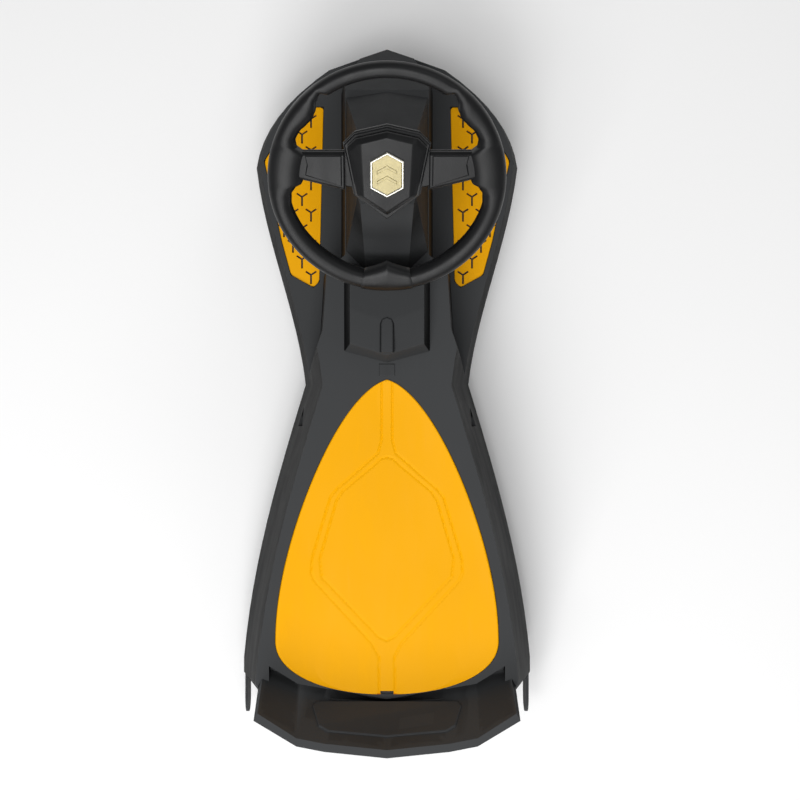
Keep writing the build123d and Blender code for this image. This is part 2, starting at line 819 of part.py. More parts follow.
def sideways_ring(low_radius, high_radius, from_x, to_x, y, z):
    outer = crosswise(high_radius, from_x, to_x, y, z)
    return outer - crosswise(low_radius, min(from_x, to_x) - 1, max(from_x, to_x) + 1, y, z)


def make_front_axle_caps():
    start = front_track / 2 + front_wheel_width / 2 + 0.3
    y = steer_y + front_trail
    cap = sideways_ring(front_axle_radius, 7.0, start, start + 3.5, y, front_wheel_radius)
    return both_sides(cap)


# ---- road wheels ----
def tyre_solid(radius, width, middle_x, y):
    """A solid tyre with a rounded tread, on the +X side."""
    profile = make_face(
        Polyline(
            (middle_x - width / 2, radius - tyre_depth),
            (middle_x - width / 2, radius - 2.5),
            (middle_x - width / 2 + 2.5, radius),
            (middle_x + width / 2 - 2.5, radius),
            (middle_x + width / 2, radius - 2.5),
            (middle_x + width / 2, radius - tyre_depth),
            close=True,
        )
    )
    return Pos(0, y, radius) * revolve(profile, Axis.X)


def rim_solid(radius, width, bore, middle_x, y):
    """A wheel's core: a barrel inside the tyre, a web, ribs and a hub with a bore."""
    low, high = middle_x - width / 2, middle_x + width / 2
    barrel = radius - tyre_depth
    hub = bore + wheel_wall
    core = sideways_ring(barrel - wheel_wall, barrel, low, high, y, radius)
    core += sideways_ring(hub - 1, barrel - wheel_wall + 1, middle_x - 2, middle_x + 2, y, radius)
    core += sideways_ring(bore, hub, low, high, y, radius)
    for turn in range(6):
        rib = block(low + 3, high - 3, -1.5, 1.5, hub - 1, barrel - 1)
        core += Pos(0, y, radius) * Rot(turn * 60.0, 0, 0) * rib
    return core


def rear_cap_solid():
    """A hub cap on the +X side, hollow over the axle's end."""
    start = rear_track / 2 + rear_wheel_width / 2
    outer = rear_wheel_radius - tyre_depth - wheel_wall - 0.1
    disc = crosswise(outer, start - 3, start, axle_y, rear_wheel_radius)
    dome = crosswise(20.0, start, start + 4.0, axle_y, rear_wheel_radius)
    return disc + dome


def rear_cap_cavity():
    start = rear_track / 2 + rear_wheel_width / 2
    return crosswise(rear_axle_radius + 8.0, start - 4, start + 2.5, axle_y, rear_wheel_radius)


def rear_reach():
    return rear_track / 2 + rear_wheel_width / 2 - 8.0


def make_rear_rim():
    rim = rim_solid(rear_wheel_radius, rear_wheel_width, rear_bush_radius(), rear_track / 2, axle_y)
    start = rear_reach() - 4.5
    end = start + 40.0
    rim -= crosswise(
        rear_wheel_radius - tyre_depth - wheel_wall, start + 5.5, end, axle_y, rear_wheel_radius
    )
    return rim - crosswise(rear_axle_radius + 8.5, start, end, axle_y, rear_wheel_radius)


def rear_bush_radius():
    return rear_axle_radius + running_gap + 2.5


def make_rear_bush():
    start = rear_track / 2 - rear_wheel_width / 2
    end = rear_reach() - 4.5
    radius = rear_wheel_radius
    return sideways_ring(
        rear_axle_radius + running_gap, rear_bush_radius(), start, end, axle_y, radius
    )


def make_rear_axle():
    reach = rear_reach()
    return crosswise(rear_axle_radius, -reach, reach, axle_y, rear_wheel_radius)


def make_rear_axle_nuts():
    start = rear_reach() - 4.2
    nut = sideways_ring(rear_axle_radius, 9.0, start, start + 4.2, axle_y, rear_wheel_radius)
    return both_sides(nut)


def make_rear_spacers():
    end = rear_track / 2 - rear_wheel_width / 2 - 0.3
    spacer = sideways_ring(
        rear_axle_radius, rear_axle_radius + 3.5, well_half, end, axle_y, rear_wheel_radius
    )
    return both_sides(spacer)


def make_front_tyre():
    y = steer_y + front_trail
    return tyre_solid(front_wheel_radius, front_wheel_width, front_track / 2, y)


def make_front_rim():
    bore = front_axle_radius + running_gap
    y = steer_y + front_trail
    return rim_solid(front_wheel_radius, front_wheel_width, bore, front_track / 2, y)


# ---- screws ----
def make_shell_screws():
    screws = [screw_up(x, y, front_floor_z, 20.0) for x, y in shell_screw_places()]
    return [piece for screw in screws for piece in both_sides(screw)]


def make_tower_screws():
    head_z = deck_z - wall
    screws = [screw_up(x, y, head_z, 15.0) for x, y in tower_screw_places()]
    return [piece for screw in screws for piece in both_sides(screw)]


def make_back_screws():
    head_z = back_foot_z - fit_gap - wall
    screws = [screw_up(x, y, head_z, 15.0) for x, y in back_screw_places()]
    return [piece for screw in screws for piece in both_sides(screw)]


def save(name, pieces):
    solids = pieces if isinstance(pieces, list) else [pieces]
    solids = [solid for piece in solids for solid in piece.solids()]
    shape = solids[0] if len(solids) == 1 else Compound(solids)
    export_step(shape, f"parts/{name}.step")


def save_pair(name, solid):
    """Saves a piece of the +X side, the rider's left, and its mirror image."""
    left, right = both_sides(solid)
    save(f"{name}_left", left)
    save(f"{name}_right", right)


def main():
    os.makedirs("parts", exist_ok=True)
    save("upper_shell", make_upper_shell())
    save("lower_shell", make_lower_shell())
    save("seat_panel", make_seat_panel())
    save_pair("foot_mat", make_foot_mat())
    save("backrest", make_backrest())
    save("steering_tower", make_steering_tower())
    save("tower_cover", make_tower_cover())
    save("screw_cap", make_screw_cap())
    save("upper_bush", make_upper_bush())
    save("lower_bush", make_lower_bush())
    save("rear_axle", make_rear_axle())
    save("rear_axle_spacers", make_rear_spacers())
    save("rear_axle_nuts", make_rear_axle_nuts())
    save("shell_screws", make_shell_screws())
    save("tower_screws", make_tower_screws())
    save("backrest_screws", make_back_screws())
    save("wheel_front_shell", on_wheel(make_wheel_front_shell()))
    save("wheel_back_shell", on_wheel(make_wheel_back_shell()))
    trims = both_sides(on_wheel(make_spoke_trim()))
    save("spoke_trim_left", trims[0])
    save("spoke_trim_right", trims[1])
    save("rim_trim", on_wheel(make_rim_trim()))
    save("hub_base", on_wheel(make_hub_base()))
    save("wheel_screws", make_wheel_screws())
    save("steering_shaft", make_steering_shaft())
    save("shaft_washer", make_shaft_washer())
    save("shaft_nut", make_shaft_nut())
    save("yoke", make_yoke())
    save("yoke_pin", make_yoke_pin())
    save("front_axle", make_front_axle())
    save("front_axle_caps", make_front_axle_caps())
    save("horn_springs", [on_wheel(spring) for spring in make_horn_springs()])
    save("horn_pad", on_wheel(make_horn_pad()))
    save("badge_bezel", on_wheel(make_badge_bezel()))
    save("badge_plate", on_wheel(make_badge_plate()))
    save_pair("front_tyre", make_front_tyre())
    save_pair("front_rim", make_front_rim())
    rear_tyre = tyre_solid(rear_wheel_radius, rear_wheel_width, rear_track / 2, axle_y)
    save_pair("rear_tyre", rear_tyre)
    save_pair("rear_rim", make_rear_rim())
    save_pair("rear_bush", make_rear_bush())
    save_pair("rear_hub_cap", rear_cap_solid() - rear_cap_cavity())


main()
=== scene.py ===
import json
from math import atan2, cos, hypot, pi, radians, sin

import bmesh
import bpy
from mathutils import Matrix, Vector


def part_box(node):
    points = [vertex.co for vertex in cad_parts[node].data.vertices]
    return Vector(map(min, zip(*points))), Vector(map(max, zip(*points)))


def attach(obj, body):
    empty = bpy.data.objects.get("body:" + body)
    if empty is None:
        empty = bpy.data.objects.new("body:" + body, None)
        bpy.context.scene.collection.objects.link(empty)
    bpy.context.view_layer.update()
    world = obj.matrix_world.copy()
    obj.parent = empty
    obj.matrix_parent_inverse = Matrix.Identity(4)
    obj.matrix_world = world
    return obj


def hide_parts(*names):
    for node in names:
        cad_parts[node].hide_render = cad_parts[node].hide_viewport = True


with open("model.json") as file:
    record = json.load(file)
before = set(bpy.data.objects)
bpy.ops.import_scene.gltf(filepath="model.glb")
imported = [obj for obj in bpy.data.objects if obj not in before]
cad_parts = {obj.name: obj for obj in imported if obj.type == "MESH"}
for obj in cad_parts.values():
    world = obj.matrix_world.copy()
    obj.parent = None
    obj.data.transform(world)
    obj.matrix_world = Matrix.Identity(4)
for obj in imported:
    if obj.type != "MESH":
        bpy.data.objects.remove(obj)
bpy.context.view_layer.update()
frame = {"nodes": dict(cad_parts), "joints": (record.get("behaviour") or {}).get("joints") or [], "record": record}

bl_info = {
    "name": "Swing car",
    "version": (1, 0, 0),
    "blender": (4, 5, 0),
    "location": "View3D > Sidebar > Swing car",
    "description": "Builds the visible pieces of a child's swing car round its packed CAD frame",
    "category": "Object",
}

# Meshes are worked out in millimetres and scaled to metres when a piece is finished.
# +Z is up, the nose points to -Y and +X is the rider's left.
MM = 0.001


def box_mm(node):
    low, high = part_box(node)
    return low / MM, high / MM


SHAFT_LOW, SHAFT_HIGH = box_mm("steering_shaft")
SEAT_LOW, SEAT_HIGH = box_mm("seat_panel")
MAT_LOW, MAT_HIGH = box_mm("foot_mat_left")
BACK_HIGH = box_mm("backrest")[1]
COVER_LOW, COVER_HIGH = box_mm("tower_cover")
RIM_LOW, RIM_HIGH = box_mm("wheel_back_shell")
FRONT_HIGH = box_mm("wheel_front_shell")[1]
STEER_Y = (SHAFT_LOW.y + SHAFT_HIGH.y) / 2
WHEEL_Z = (RIM_LOW.z + FRONT_HIGH.z) / 2
DECK_Z = box_mm("upper_shell")[1].z
RIM_OUT = RIM_HIGH.x  # outer radius of the steering wheel

# The steering wheel's own frame: its y runs down the tilt to the rider, its z out of its plane.
HORN_AXIS = next(joint for joint in frame["joints"] if joint["name"] == "horn_press")["axis"]
WHEEL_TILT = atan2(-HORN_AXIS[1], -HORN_AXIS[2])
WHEEL_PLACE = Matrix.Translation((0, STEER_Y, WHEEL_Z)) @ Matrix.Rotation(-WHEEL_TILT, 4, "X")

GRIP_DEPTH = 12.0  # half thickness of the steering wheel's rim at the grips
RIM_FRONT_DEPTH = 10.0  # and along its front arc
SPOKE_FRONT = -31.0  # the spokes' front edge, in the wheel's frame
SPOKE_HALF = 8.0  # half depth of the spokes
PAD_LOW, PAD_TOP = 9.0, 20.0  # levels of the horn pad over the wheel's plane
HUB_TOP = 6.0
STEM, STEM_BORE = 13.0, 14.2  # radii of the hub's stem and of the hole that it stands in
BADGE_HALF, BADGE_FRONT, BADGE_REAR = 17.5, -36.0, 13.0
BADGE_EDGE = 2.5  # width of the badge's bezel


# ---- sizes and colours that a user may change ----
def linear(hex_code):
    """An sRGB hex colour as a linear RGB tuple."""
    parts = [int(hex_code[i : i + 2], 16) / 255 for i in (1, 3, 5)]
    return tuple(c / 12.92 if c <= 0.04045 else ((c + 0.055) / 1.055) ** 2.4 for c in parts)


def colour_prop(name, hex_code, description):
    return bpy.props.FloatVectorProperty(
        name=name,
        description=description,
        subtype="COLOR",
        size=3,
        min=0,
        max=1,
        default=linear(hex_code),
    )


def length_prop(name, millimetres, description):
    return bpy.props.FloatProperty(
        name=name,
        description=description,
        default=millimetres * MM,
        min=0,
        unit="LENGTH",
        subtype="DISTANCE",
    )


class SwingCarShape(bpy.types.PropertyGroup):
    """Sizes of the moulded details"""

    shell_round: length_prop("Shell rounding", 2.2, "Radius along the edges of the body shells")
    seat_dish: length_prop("Seat dish", 4.2, "How far the middle of the seat lies below its edge")
    seat_line: length_prop("Seat line", 2.0, "Width of the lines pressed into the seat")
    seat_line_depth: length_prop("Seat line depth", 0.9, "Depth of the lines pressed into the seat")
    mark_pitch: length_prop("Mark pitch", 21.6, "Distance between two foot mat marks in a row")
    mark_row: length_prop("Mark row", 18.7, "Distance between two rows of foot mat marks")
    mark_stroke: length_prop("Mark stroke", 2.2, "Width of a foot mat mark's strokes")
    mark_arm: length_prop("Mark arm", 7.6, "Length of a foot mat mark's two short arms")
    mark_stem: length_prop("Mark stem", 11.0, "Length of a foot mat mark's long arm")
    tread_blocks: bpy.props.IntProperty(
        name="Tread blocks", description="Blocks round one shoulder of a tyre", default=30, min=8
    )
    tread_height: length_prop("Tread height", 1.4, "Height of the tread blocks")


class SwingCarColours(bpy.types.PropertyGroup):
    """Colours of the mouldings"""

    panel: colour_prop("Panels", "#EFA900", "Seat and foot mats")
    shell: colour_prop("Shells", "#3A3B3C", "Body shells, tower and backrest")
    grip: colour_prop("Steering wheel", "#28292B", "Rim, spokes and horn pad")
    tyre: colour_prop("Tyres", "#161616", "Soft treads")
    rim: colour_prop("Rims", "#54575B", "Road wheels' cores and hub caps")
    badge: colour_prop("Badge", "#8A7F55", "Face of the badge")
    floor: colour_prop("Floor", "#FDFDFD", "Studio floor")


def shape():
    return bpy.context.scene.swing_car_shape


def colours():
    return bpy.context.scene.swing_car_colours


def mm(length):
    return length / MM


# ---- materials ----
def add(tree, kind, inputs=None, **settings):
    """Adds a node with its settings; an input that is another node's output is linked."""
    made = tree.nodes.new(kind)
    for key, value in settings.items():
        setattr(made, key, value)
    for key, value in (inputs or {}).items():
        if isinstance(value, bpy.types.NodeSocket):
            tree.links.new(value, made.inputs[key])
        else:
            made.inputs[key].default_value = value
    return made


def tinted(colour, share):
    return (*[min(channel * share, 1.0) for channel in colour], 1.0)


def new_material(name):
    made = bpy.data.materials.new(name)
    made.use_nodes = True
    made.node_tree.nodes.clear()
    return made, made.node_tree


def noise(tree, place, size_mm, detail=3.0, roughness=0.5, stretch=(1, 1, 1)):
    """A pattern of blobs about size_mm across, drawn out along an axis by stretch."""
    mapped = add(tree, "ShaderNodeMapping", {"Vector": place, "Scale": stretch})
    scale = 0.5 / (size_mm * MM)
    inputs = {"Vector": mapped.outputs[0], "Scale": scale, "Detail": detail, "Roughness": roughness}
    return add(tree, "ShaderNodeTexNoise", inputs).outputs["Fac"]


def surfaced(made, layers, inputs):
    """Ends a material: its bumps one over another, each (height, depth in mm), and its shader."""
    tree = made.node_tree
    normal = {}
    for height, depth in layers:
        bump = {"Height": height, "Distance": depth * MM, "Strength": 1.0, **normal}
        normal = {"Normal": add(tree, "ShaderNodeBump", bump).outputs["Normal"]}
    shader = add(tree, "ShaderNodeBsdfPrincipled", {**inputs, **normal})
    add(tree, "ShaderNodeOutputMaterial", {"Surface": shader.outputs[0]})
    return made


def shader_of(made):
    return next(node for node in made.node_tree.nodes if node.type == "BSDF_PRINCIPLED")


def moulded_plastic(name, colour, grain_mm, grain_depth, dull, worn=1.0, mottle=0.08, shine=0.5):
    """An injection moulding with a spark-eroded skin: dull highlights over a fine pebble grain,
    slightly cloudy tone, hairline scuffs, and edges rubbed a little lighter."""
    made, tree = new_material(name)
    place = add(tree, "ShaderNodeTexCoord").outputs["Object"]
    cloud = noise(tree, place, 60.0, 2.0)
    flow = noise(tree, place, 14.0, 4.0, 0.6, (1, 0.25, 1))
    inputs = {"Vector": place, "Scale": 1 / (grain_mm * MM), "Randomness": 1.0}
    grain = add(tree, "ShaderNodeTexVoronoi", inputs, feature="SMOOTH_F1").outputs["Distance"]
    scuff = noise(tree, place, 1.6, 2.0, 0.5, (1, 0.04, 1))
    edge = add(tree, "ShaderNodeNewGeometry").outputs["Pointiness"]
    streak, rubbed, scratched, satin, slick = [
        add(tree, "ShaderNodeMapRange", dict(enumerate(values))).outputs[0]
        for values in (
            (flow, 0.55, 0.8, 0.0, 0.5),
            (edge, 0.52, 0.6, 0.0, 0.35),
            (scuff, 0.66, 0.74, 0.0, 1.0),
            (flow, 0.3, 0.7, dull - 0.05, dull + 0.07),
            (scuff, 0.66, 0.74, 0.0, -0.08),
        )
    ]
    tone = tinted(colour, 1 - mottle)
    for factor, share in ((cloud, 1 + mottle), (streak, 1 + 2 * mottle), (rubbed, 1 + 0.9 * worn)):
        inputs = {0: factor, 6: tone, 7: tinted(colour, share)}
        tone = add(tree, "ShaderNodeMix", inputs, data_type="RGBA").outputs[2]
    rough = add(tree, "ShaderNodeMath", {0: satin, 1: slick}, operation="ADD").outputs[0]
    layers = [(flow, 0.06), (grain, grain_depth), (scratched, 0.012)]
    inputs = {"Base Color": tone, "Roughness": rough, "IOR": 1.49, "Specular IOR Level": shine}
    return surfaced(made, layers, inputs)


def darkened(made, factor, low, high, share):
    """Lets a moulding's tone fall to a share of itself as a factor rises from low to high."""
    tree, base = made.node_tree, shader_of(made).inputs["Base Color"]
    tone = base.links[0].from_socket
    deep = add(tree, "ShaderNodeVectorMath", {0: tone, 3: share}, operation="SCALE").outputs[0]
    eased = add(tree, "ShaderNodeMapRange", {0: factor, 1: low, 2: high, 3: 0.0, 4: 1.0}).outputs[0]
    mixed = add(tree, "ShaderNodeMix", {0: eased, 6: tone, 7: deep}, data_type="RGBA")
    tree.links.new(mixed.outputs[2], base)
    return made


def shell_polypropylene():
    """Black polypropylene with a coarse eroded grain: matt, with soft greys on its tops, and
    painted shade that makes it blacker on the steep sides that face left and right."""
    name = "polypropylene_black_grained"
    made = moulded_plastic(name, colours().shell, 1.1, 0.05, 0.62, 0.7, shine=0.1)
    tree = made.node_tree
    facing = add(tree, "ShaderNodeTexCoord").outputs["Normal"]
    painted_shade_side = add(tree, "ShaderNodeSeparateXYZ", {"Vector": facing}).outputs["X"]
    across = add(tree, "ShaderNodeMath", {0: painted_shade_side}, operation="ABSOLUTE").outputs[0]
    shader_of(made).inputs["Specular Tint"].default_value = (0.25, 0.25, 0.25, 1.0)
    # Painted shade: the tone falls to a tenth of itself on faces that turn towards the left or right.
    return darkened(made, across, 0.55, 0.75, 0.1)


def panel_polypropylene():
    """Yellow polypropylene with a finer grain than the shell: warm, with faint flow clouds."""
    name = "polypropylene_yellow_satin"
    return moulded_plastic(name, colours().panel, 0.9, 0.018, 0.5, 0.12, 0.045, 0.08)


def grip_plastic():
    """Black ABS with a leather-like grain, satin: greyer in the middle, deep black on the rim,
    with a soft line of light along its crown."""
    made = moulded_plastic("abs_black_satin", colours().grip, 1.5, 0.05, 0.42, shine=0.3)
    tree = made.node_tree
    inputs = {0: add(tree, "ShaderNodeTexCoord").outputs["Object"], 1: WHEEL_PLACE.translation}
    reach = add(tree, "ShaderNodeVectorMath", inputs, operation="DISTANCE").outputs["Value"]
    return darkened(made, reach, 0.078, 0.09, 0.3)


def rim_plastic():
    """Grey polypropylene of the wheels' cores: even and matt."""
    return moulded_plastic("polypropylene_grey_rim", colours().rim, 1.0, 0.03, 0.5, 0.4)


def natural_nylon():
    """Unpigmented nylon, milky white, with turning marks: bushes, spacers and yoke."""
    return moulded_plastic("nylon_natural_moulded", linear("#CFCBBE"), 0.8, 0.01, 0.42, 0.1, 0.03)


def badge_enamel():
    """Cast badge face with a cream lacquer: fine casting grain under a glossy coat."""
    made = moulded_plastic("lacquer_cream_cast", colours().badge, 0.5, 0.02, 0.32, 0.2, 0.1)
    shader_of(made).inputs["Metallic"].default_value = 0.55
    shader_of(made).inputs["Coat Weight"].default_value = 0.4
    return made


def soft_tyre():
    """Blown polyurethane: very matt, dusty in patches, with tiny open pores."""
    made, tree = new_material("polyurethane_blown_tyre")
    place = add(tree, "ShaderNodeTexCoord").outputs["Object"]
    dust = noise(tree, place, 22.0, 5.0, 0.65)
    pores = noise(tree, place, 0.8, 2.0)
    patch, rough = [
        add(tree, "ShaderNodeMapRange", dict(enumerate(values))).outputs[0]
        for values in ((dust, 0.5, 0.75, 0.0, 0.35), (dust, 0.3, 0.7, 0.72, 0.9))
    ]
    inputs = {0: patch, 6: tinted(colours().tyre, 1.0), 7: (0.06, 0.055, 0.05, 1)}
    tone = add(tree, "ShaderNodeMix", inputs, data_type="RGBA").outputs[2]
    return surfaced(made, [(pores, 0.08)], {"Base Color": tone, "Roughness": rough, "IOR": 1.5})


def metal(name, hex_code, dull, spangle_mm, spangle_depth):
    """Bare or plated metal: cloudy plating patches and fine drawn scratches break its shine."""
    made, tree = new_material(name)
    place = add(tree, "ShaderNodeTexCoord").outputs["Object"]
    inputs = {"Vector": place, "Scale": 1 / (spangle_mm * MM)}
    patch = add(tree, "ShaderNodeTexVoronoi", inputs).outputs["Distance"]
    drawn = noise(tree, place, 0.7, 3.0, 0.6, (1, 1, 0.03))
    base = linear(hex_code)
    inputs = {0: patch, 6: tinted(base, 0.86), 7: tinted(base, 1.08)}
    tone = add(tree, "ShaderNodeMix", inputs, data_type="RGBA").outputs[2]
    inputs = {0: drawn, 1: 0.3, 2: 0.7, 3: dull - 0.06, 4: dull + 0.08}
    rough = add(tree, "ShaderNodeMapRange", inputs).outputs[0]
    layers = [(drawn, 0.01), (patch, spangle_depth)]
    return surfaced(made, layers, {"Base Color": tone, "Roughness": rough, "Metallic": 1.0})


def zinc_steel():
    """Zinc-plated steel: cool grey with small plating spangles, on screws, shaft and axles."""
    return metal("steel_zinc_plated", "#AEB2B6", 0.36, 2.5, 0.004)


def satin_chrome():
    """Satin-chromed trim of the badge's bezel: bright, with a soft blurred highlight."""
    return metal("chrome_satin_trim", "#C9C6BC", 0.26, 1.2, 0.002)


def floor_paint():
    """Matt studio floor paint with a barely seen roller stipple."""
    made, tree = new_material("paint_floor_matt")
    place = add(tree, "ShaderNodeTexCoord").outputs["Object"]
    stipple = noise(tree, place, 3.0, 3.0)
    patch = noise(tree, place, 300.0, 2.0)
    inputs = {0: patch, 6: tinted(colours().floor, 0.98), 7: tinted(colours().floor, 1.0)}
    tone = add(tree, "ShaderNodeMix", inputs, data_type="RGBA").outputs[2]
    return surfaced(made, [(stipple, 0.05)], {"Base Color": tone, "Roughness": 0.85})


FINISHES = {
    "black_shell": shell_polypropylene,
    "yellow_panel": panel_polypropylene,
    "black_wheel": grip_plastic,
    "grey_rim": rim_plastic,
    "nylon": natural_nylon,
    "badge_face": badge_enamel,
    "badge_silver": satin_chrome,
    "steel": zinc_steel,
    "tyre_soft": soft_tyre,
}
made_finishes = {}


def finish_for(slot):
    """The material of one of the record's slots, made once."""
    if slot not in made_finishes:
        made_finishes[slot] = FINISHES[slot]()
    return made_finishes[slot]


# ---- mesh helpers, all in millimetres ----
def mirrored(points):
    """A closed loop from +X half points that start and end at X = 0."""
    return points + [(-x, y) for x, y in reversed(points) if x > 0]


def moved_in(points, distance):
    """A +X half outline, from its front to its rear, with each edge moved in by a distance."""
    moved = []
    last = len(points) - 1
    for index, (x, y) in enumerate(points):
        before = points[index - 1] if index > 0 else (-points[1][0], points[1][1])
        after = points[index + 1] if index < last else (-points[-2][0], points[-2][1])
        normals = []
        for (from_x, from_y), (to_x, to_y) in ((before, (x, y)), ((x, y), after)):
            size = hypot(to_x - from_x, to_y - from_y)
            normals.append(((from_y - to_y) / size, (to_x - from_x) / size))
        (one_x, one_y), (two_x, two_y) = normals
        scale = distance / (1 + one_x * two_x + one_y * two_y)
        moved.append((x + (one_x + two_x) * scale, y + (one_y + two_y) * scale))
    moved[0] = (0.0, moved[0][1])
    moved[-1] = (0.0, moved[-1][1])
    return moved


def at_level(points, z):
    return [(x, y, z) for x, y in points]


def add_rings(bm, rings, closed=False):
    """A skin over rings of as many 3D points each, capped at both ends unless it closes on itself."""
    rows = [[bm.verts.new(point) for point in ring] for ring in rings]
    pairs = list(zip(rows, rows[1:]))
    if closed:
        pairs.append((rows[-1], rows[0]))
    else:
        bm.faces.new(rows[0])
        bm.faces.new(rows[-1])
    for one, two in pairs:
        for index in range(len(one)):
            bm.faces.new((one[index - 1], one[index], two[index], two[index - 1]))
    return rows


def add_prism(bm, points, low, high):
    return add_rings(bm, [at_level(points, low), at_level(points, high)])


def circle(radius, steps, y=0.0):
    """Points of a circle round (0, y)."""
    turns = [2 * pi * step / steps for step in range(steps)]
    return [(radius * sin(turn), y + radius * cos(turn)) for turn in turns]


def shaft_rings(radius_levels, steps):
    """Rings round the upright steering shaft, as points of the tilted wheel's frame."""
    axis = WHEEL_PLACE.inverted()
    return [
        [tuple(axis @ Vector(point)) for point in at_level(circle(radius, steps, STEER_Y), z)]
        for radius, z in radius_levels
    ]


def join(bm, other):
    """Adds all of another bmesh to a bmesh."""
    mesh = to_mesh(other, "joined")
    bm.from_mesh(mesh)
    bpy.data.meshes.remove(mesh)


def revolved(bm, section, x, y, z, steps=96):
    """A closed section of (x, radius) points turned round an axle along X at (y, z)."""
    rings = []
    for step in range(steps):
        turn = 2 * pi * step / steps
        rings.append([(x + along, y + r * sin(turn), z + r * cos(turn)) for along, r in section])
    add_rings(bm, rings, closed=True)


def round_edges(bm, radius, steps, least_turn=25.0, least_length=0.0):
    """Rounds the edges that turn by more than an angle and are longer than a length."""
    edges = []
    for edge in bm.edges:
        if len(edge.link_faces) != 2 or edge.calc_length() < least_length:
            continue
        if edge.calc_face_angle(0.0) > radians(least_turn):
            edges.append(edge)
    bmesh.ops.bevel(
        bm,
        geom=edges,
        offset=radius,
        offset_type="OFFSET",
        segments=steps,
        profile=0.5,
        affect="EDGES",
        clamp_overlap=True,
    )


def in_millimetres(mesh):
    """A bmesh in millimetres from a mesh in metres."""
    bm = bmesh.new()
    bm.from_mesh(mesh)
    bm.transform(Matrix.Scale(1 / MM, 4))
    return bm


def cad_copy(node):
    """A clean copy of a CAD node's mesh: doubles merged and flat faces joined."""
    bm = in_millimetres(frame["nodes"][node].data)
    bmesh.ops.remove_doubles(bm, verts=bm.verts, dist=0.002)
    bmesh.ops.dissolve_limit(
        bm, angle_limit=radians(0.4), use_dissolve_boundaries=False, verts=bm.verts, edges=bm.edges
    )
    return bm


def evaluated(obj):
    """The object's mesh with its modifiers applied."""
    graph = bpy.context.evaluated_depsgraph_get()
    return bpy.data.meshes.new_from_object(obj.evaluated_get(graph))


def linked(name, mesh):
    made = bpy.data.objects.new(name, mesh)
    bpy.context.scene.collection.objects.link(made)
    return made


def to_mesh(bm, name):
    mesh = bpy.data.meshes.new(name)
    bm.to_mesh(mesh)
    bm.free()
    return mesh


def smooth(mesh, sharp_turn=32.0):
    mesh.polygons.foreach_set("use_smooth", [True] * len(mesh.polygons))
    mesh.set_sharp_from_angle(angle=radians(sharp_turn))


def weighted(made):
    """The object with normals weighted by face area, so that flats look flat beside round edges."""
    modifier = made.modifiers.new("weigh", "WEIGHTED_NORMAL")
    modifier.keep_sharp = True
    mesh = evaluated(made)
    made.modifiers.clear()
    old = made.data
    made.data = mesh
    bpy.data.meshes.remove(old)
    mesh.name = made.name
    return made


def finished(name, bm, slot, body, nodes, on_wheel=False, sharp_turn=32.0, clean=True):
    """Turns a bmesh in millimetres into a finished piece that rides on a CAD body."""
    if clean:
        bmesh.ops.remove_doubles(bm, verts=bm.verts, dist=0.001)
        bmesh.ops.recalc_face_normals(bm, faces=bm.faces)
    place = WHEEL_PLACE if on_wheel else Matrix.Identity(4)
    bm.transform(Matrix.Scale(MM, 4) @ place)
    mesh = to_mesh(bm, name)
    smooth(mesh, sharp_turn)
    mesh.materials.append(finish_for(slot))
    return declared(weighted(linked(name, mesh)), body, nodes)


def declared(made, body, nodes):
    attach(made, body)
    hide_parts(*nodes)
    return made


def cut(bm, cutter, operation="DIFFERENCE"):
    """A bmesh with another one cut out of it."""
    whole = linked("whole", to_mesh(bm, "whole"))
    tool = linked("tool", to_mesh(cutter, "tool"))
    modifier = whole.modifiers.new("cut", "BOOLEAN")
    modifier.operation = operation
    modifier.solver = "EXACT"
    modifier.object = tool
    result = evaluated(whole)
    made = bmesh.new()
    made.from_mesh(result)
    for scrap in (whole, tool):
        bpy.data.objects.remove(scrap)
    bpy.data.meshes.remove(result)
    return made


# ---- Geometry Nodes ----
def new_group(name, sockets):
    """A geometry node group with its named inputs, and its input and output nodes."""
    group = bpy.data.node_groups.new(name, "GeometryNodeTree")
    group.interface.new_socket("Geometry", in_out="INPUT", socket_type="NodeSocketGeometry")
    group.interface.new_socket("Geometry", in_out="OUTPUT", socket_type="NodeSocketGeometry")
    for socket, kind in sockets.items():
        group.interface.new_socket(socket, in_out="INPUT", socket_type=f"NodeSocket{kind}")
    start = group.nodes.new("NodeGroupInput").outputs
    return group, start


def end_group(group, geometry, finish):
    whole = add(group, "GeometryNodeRealizeInstances", {"Geometry": geometry})
    painted = add(
        group, "GeometryNodeSetMaterial", {"Geometry": whole.outputs[0], "Material": finish}
    )
    add(group, "NodeGroupOutput", {"Geometry": painted.outputs[0]})
    return group


def round_axle_group():
    """Repeats one block round an axle that runs along X."""
    sockets = {"Count": "Int", "Axle": "Vector", "Finish": "Material"}
    group, start = new_group("repeat_round_axle", sockets)
    points = add(group, "GeometryNodePoints", {"Count": start["Count"], "Position": start["Axle"]})
    index = add(group, "GeometryNodeInputIndex").outputs[0]
    share = add(
        group, "ShaderNodeMath", {0: index, 1: start["Count"]}, operation="DIVIDE"
    ).outputs[0]
    angle = add(group, "ShaderNodeMath", {0: share, 1: 2 * pi}, operation="MULTIPLY").outputs[0]
    turn = add(group, "ShaderNodeCombineXYZ", {"X": angle}).outputs[0]
    back = add(
        group, "ShaderNodeVectorMath", {0: start["Axle"], "Scale": -1.0}, operation="SCALE"
    ).outputs[0]
    block = add(
        group, "GeometryNodeTransform", {"Geometry": start["Geometry"], "Translation": back}
    ).outputs[0]
    copies = add(
        group,
        "GeometryNodeInstanceOnPoints",
        {"Points": points.outputs[0], "Instance": block, "Rotation": turn},
    ).outputs[0]
    return end_group(group, copies, start["Finish"])


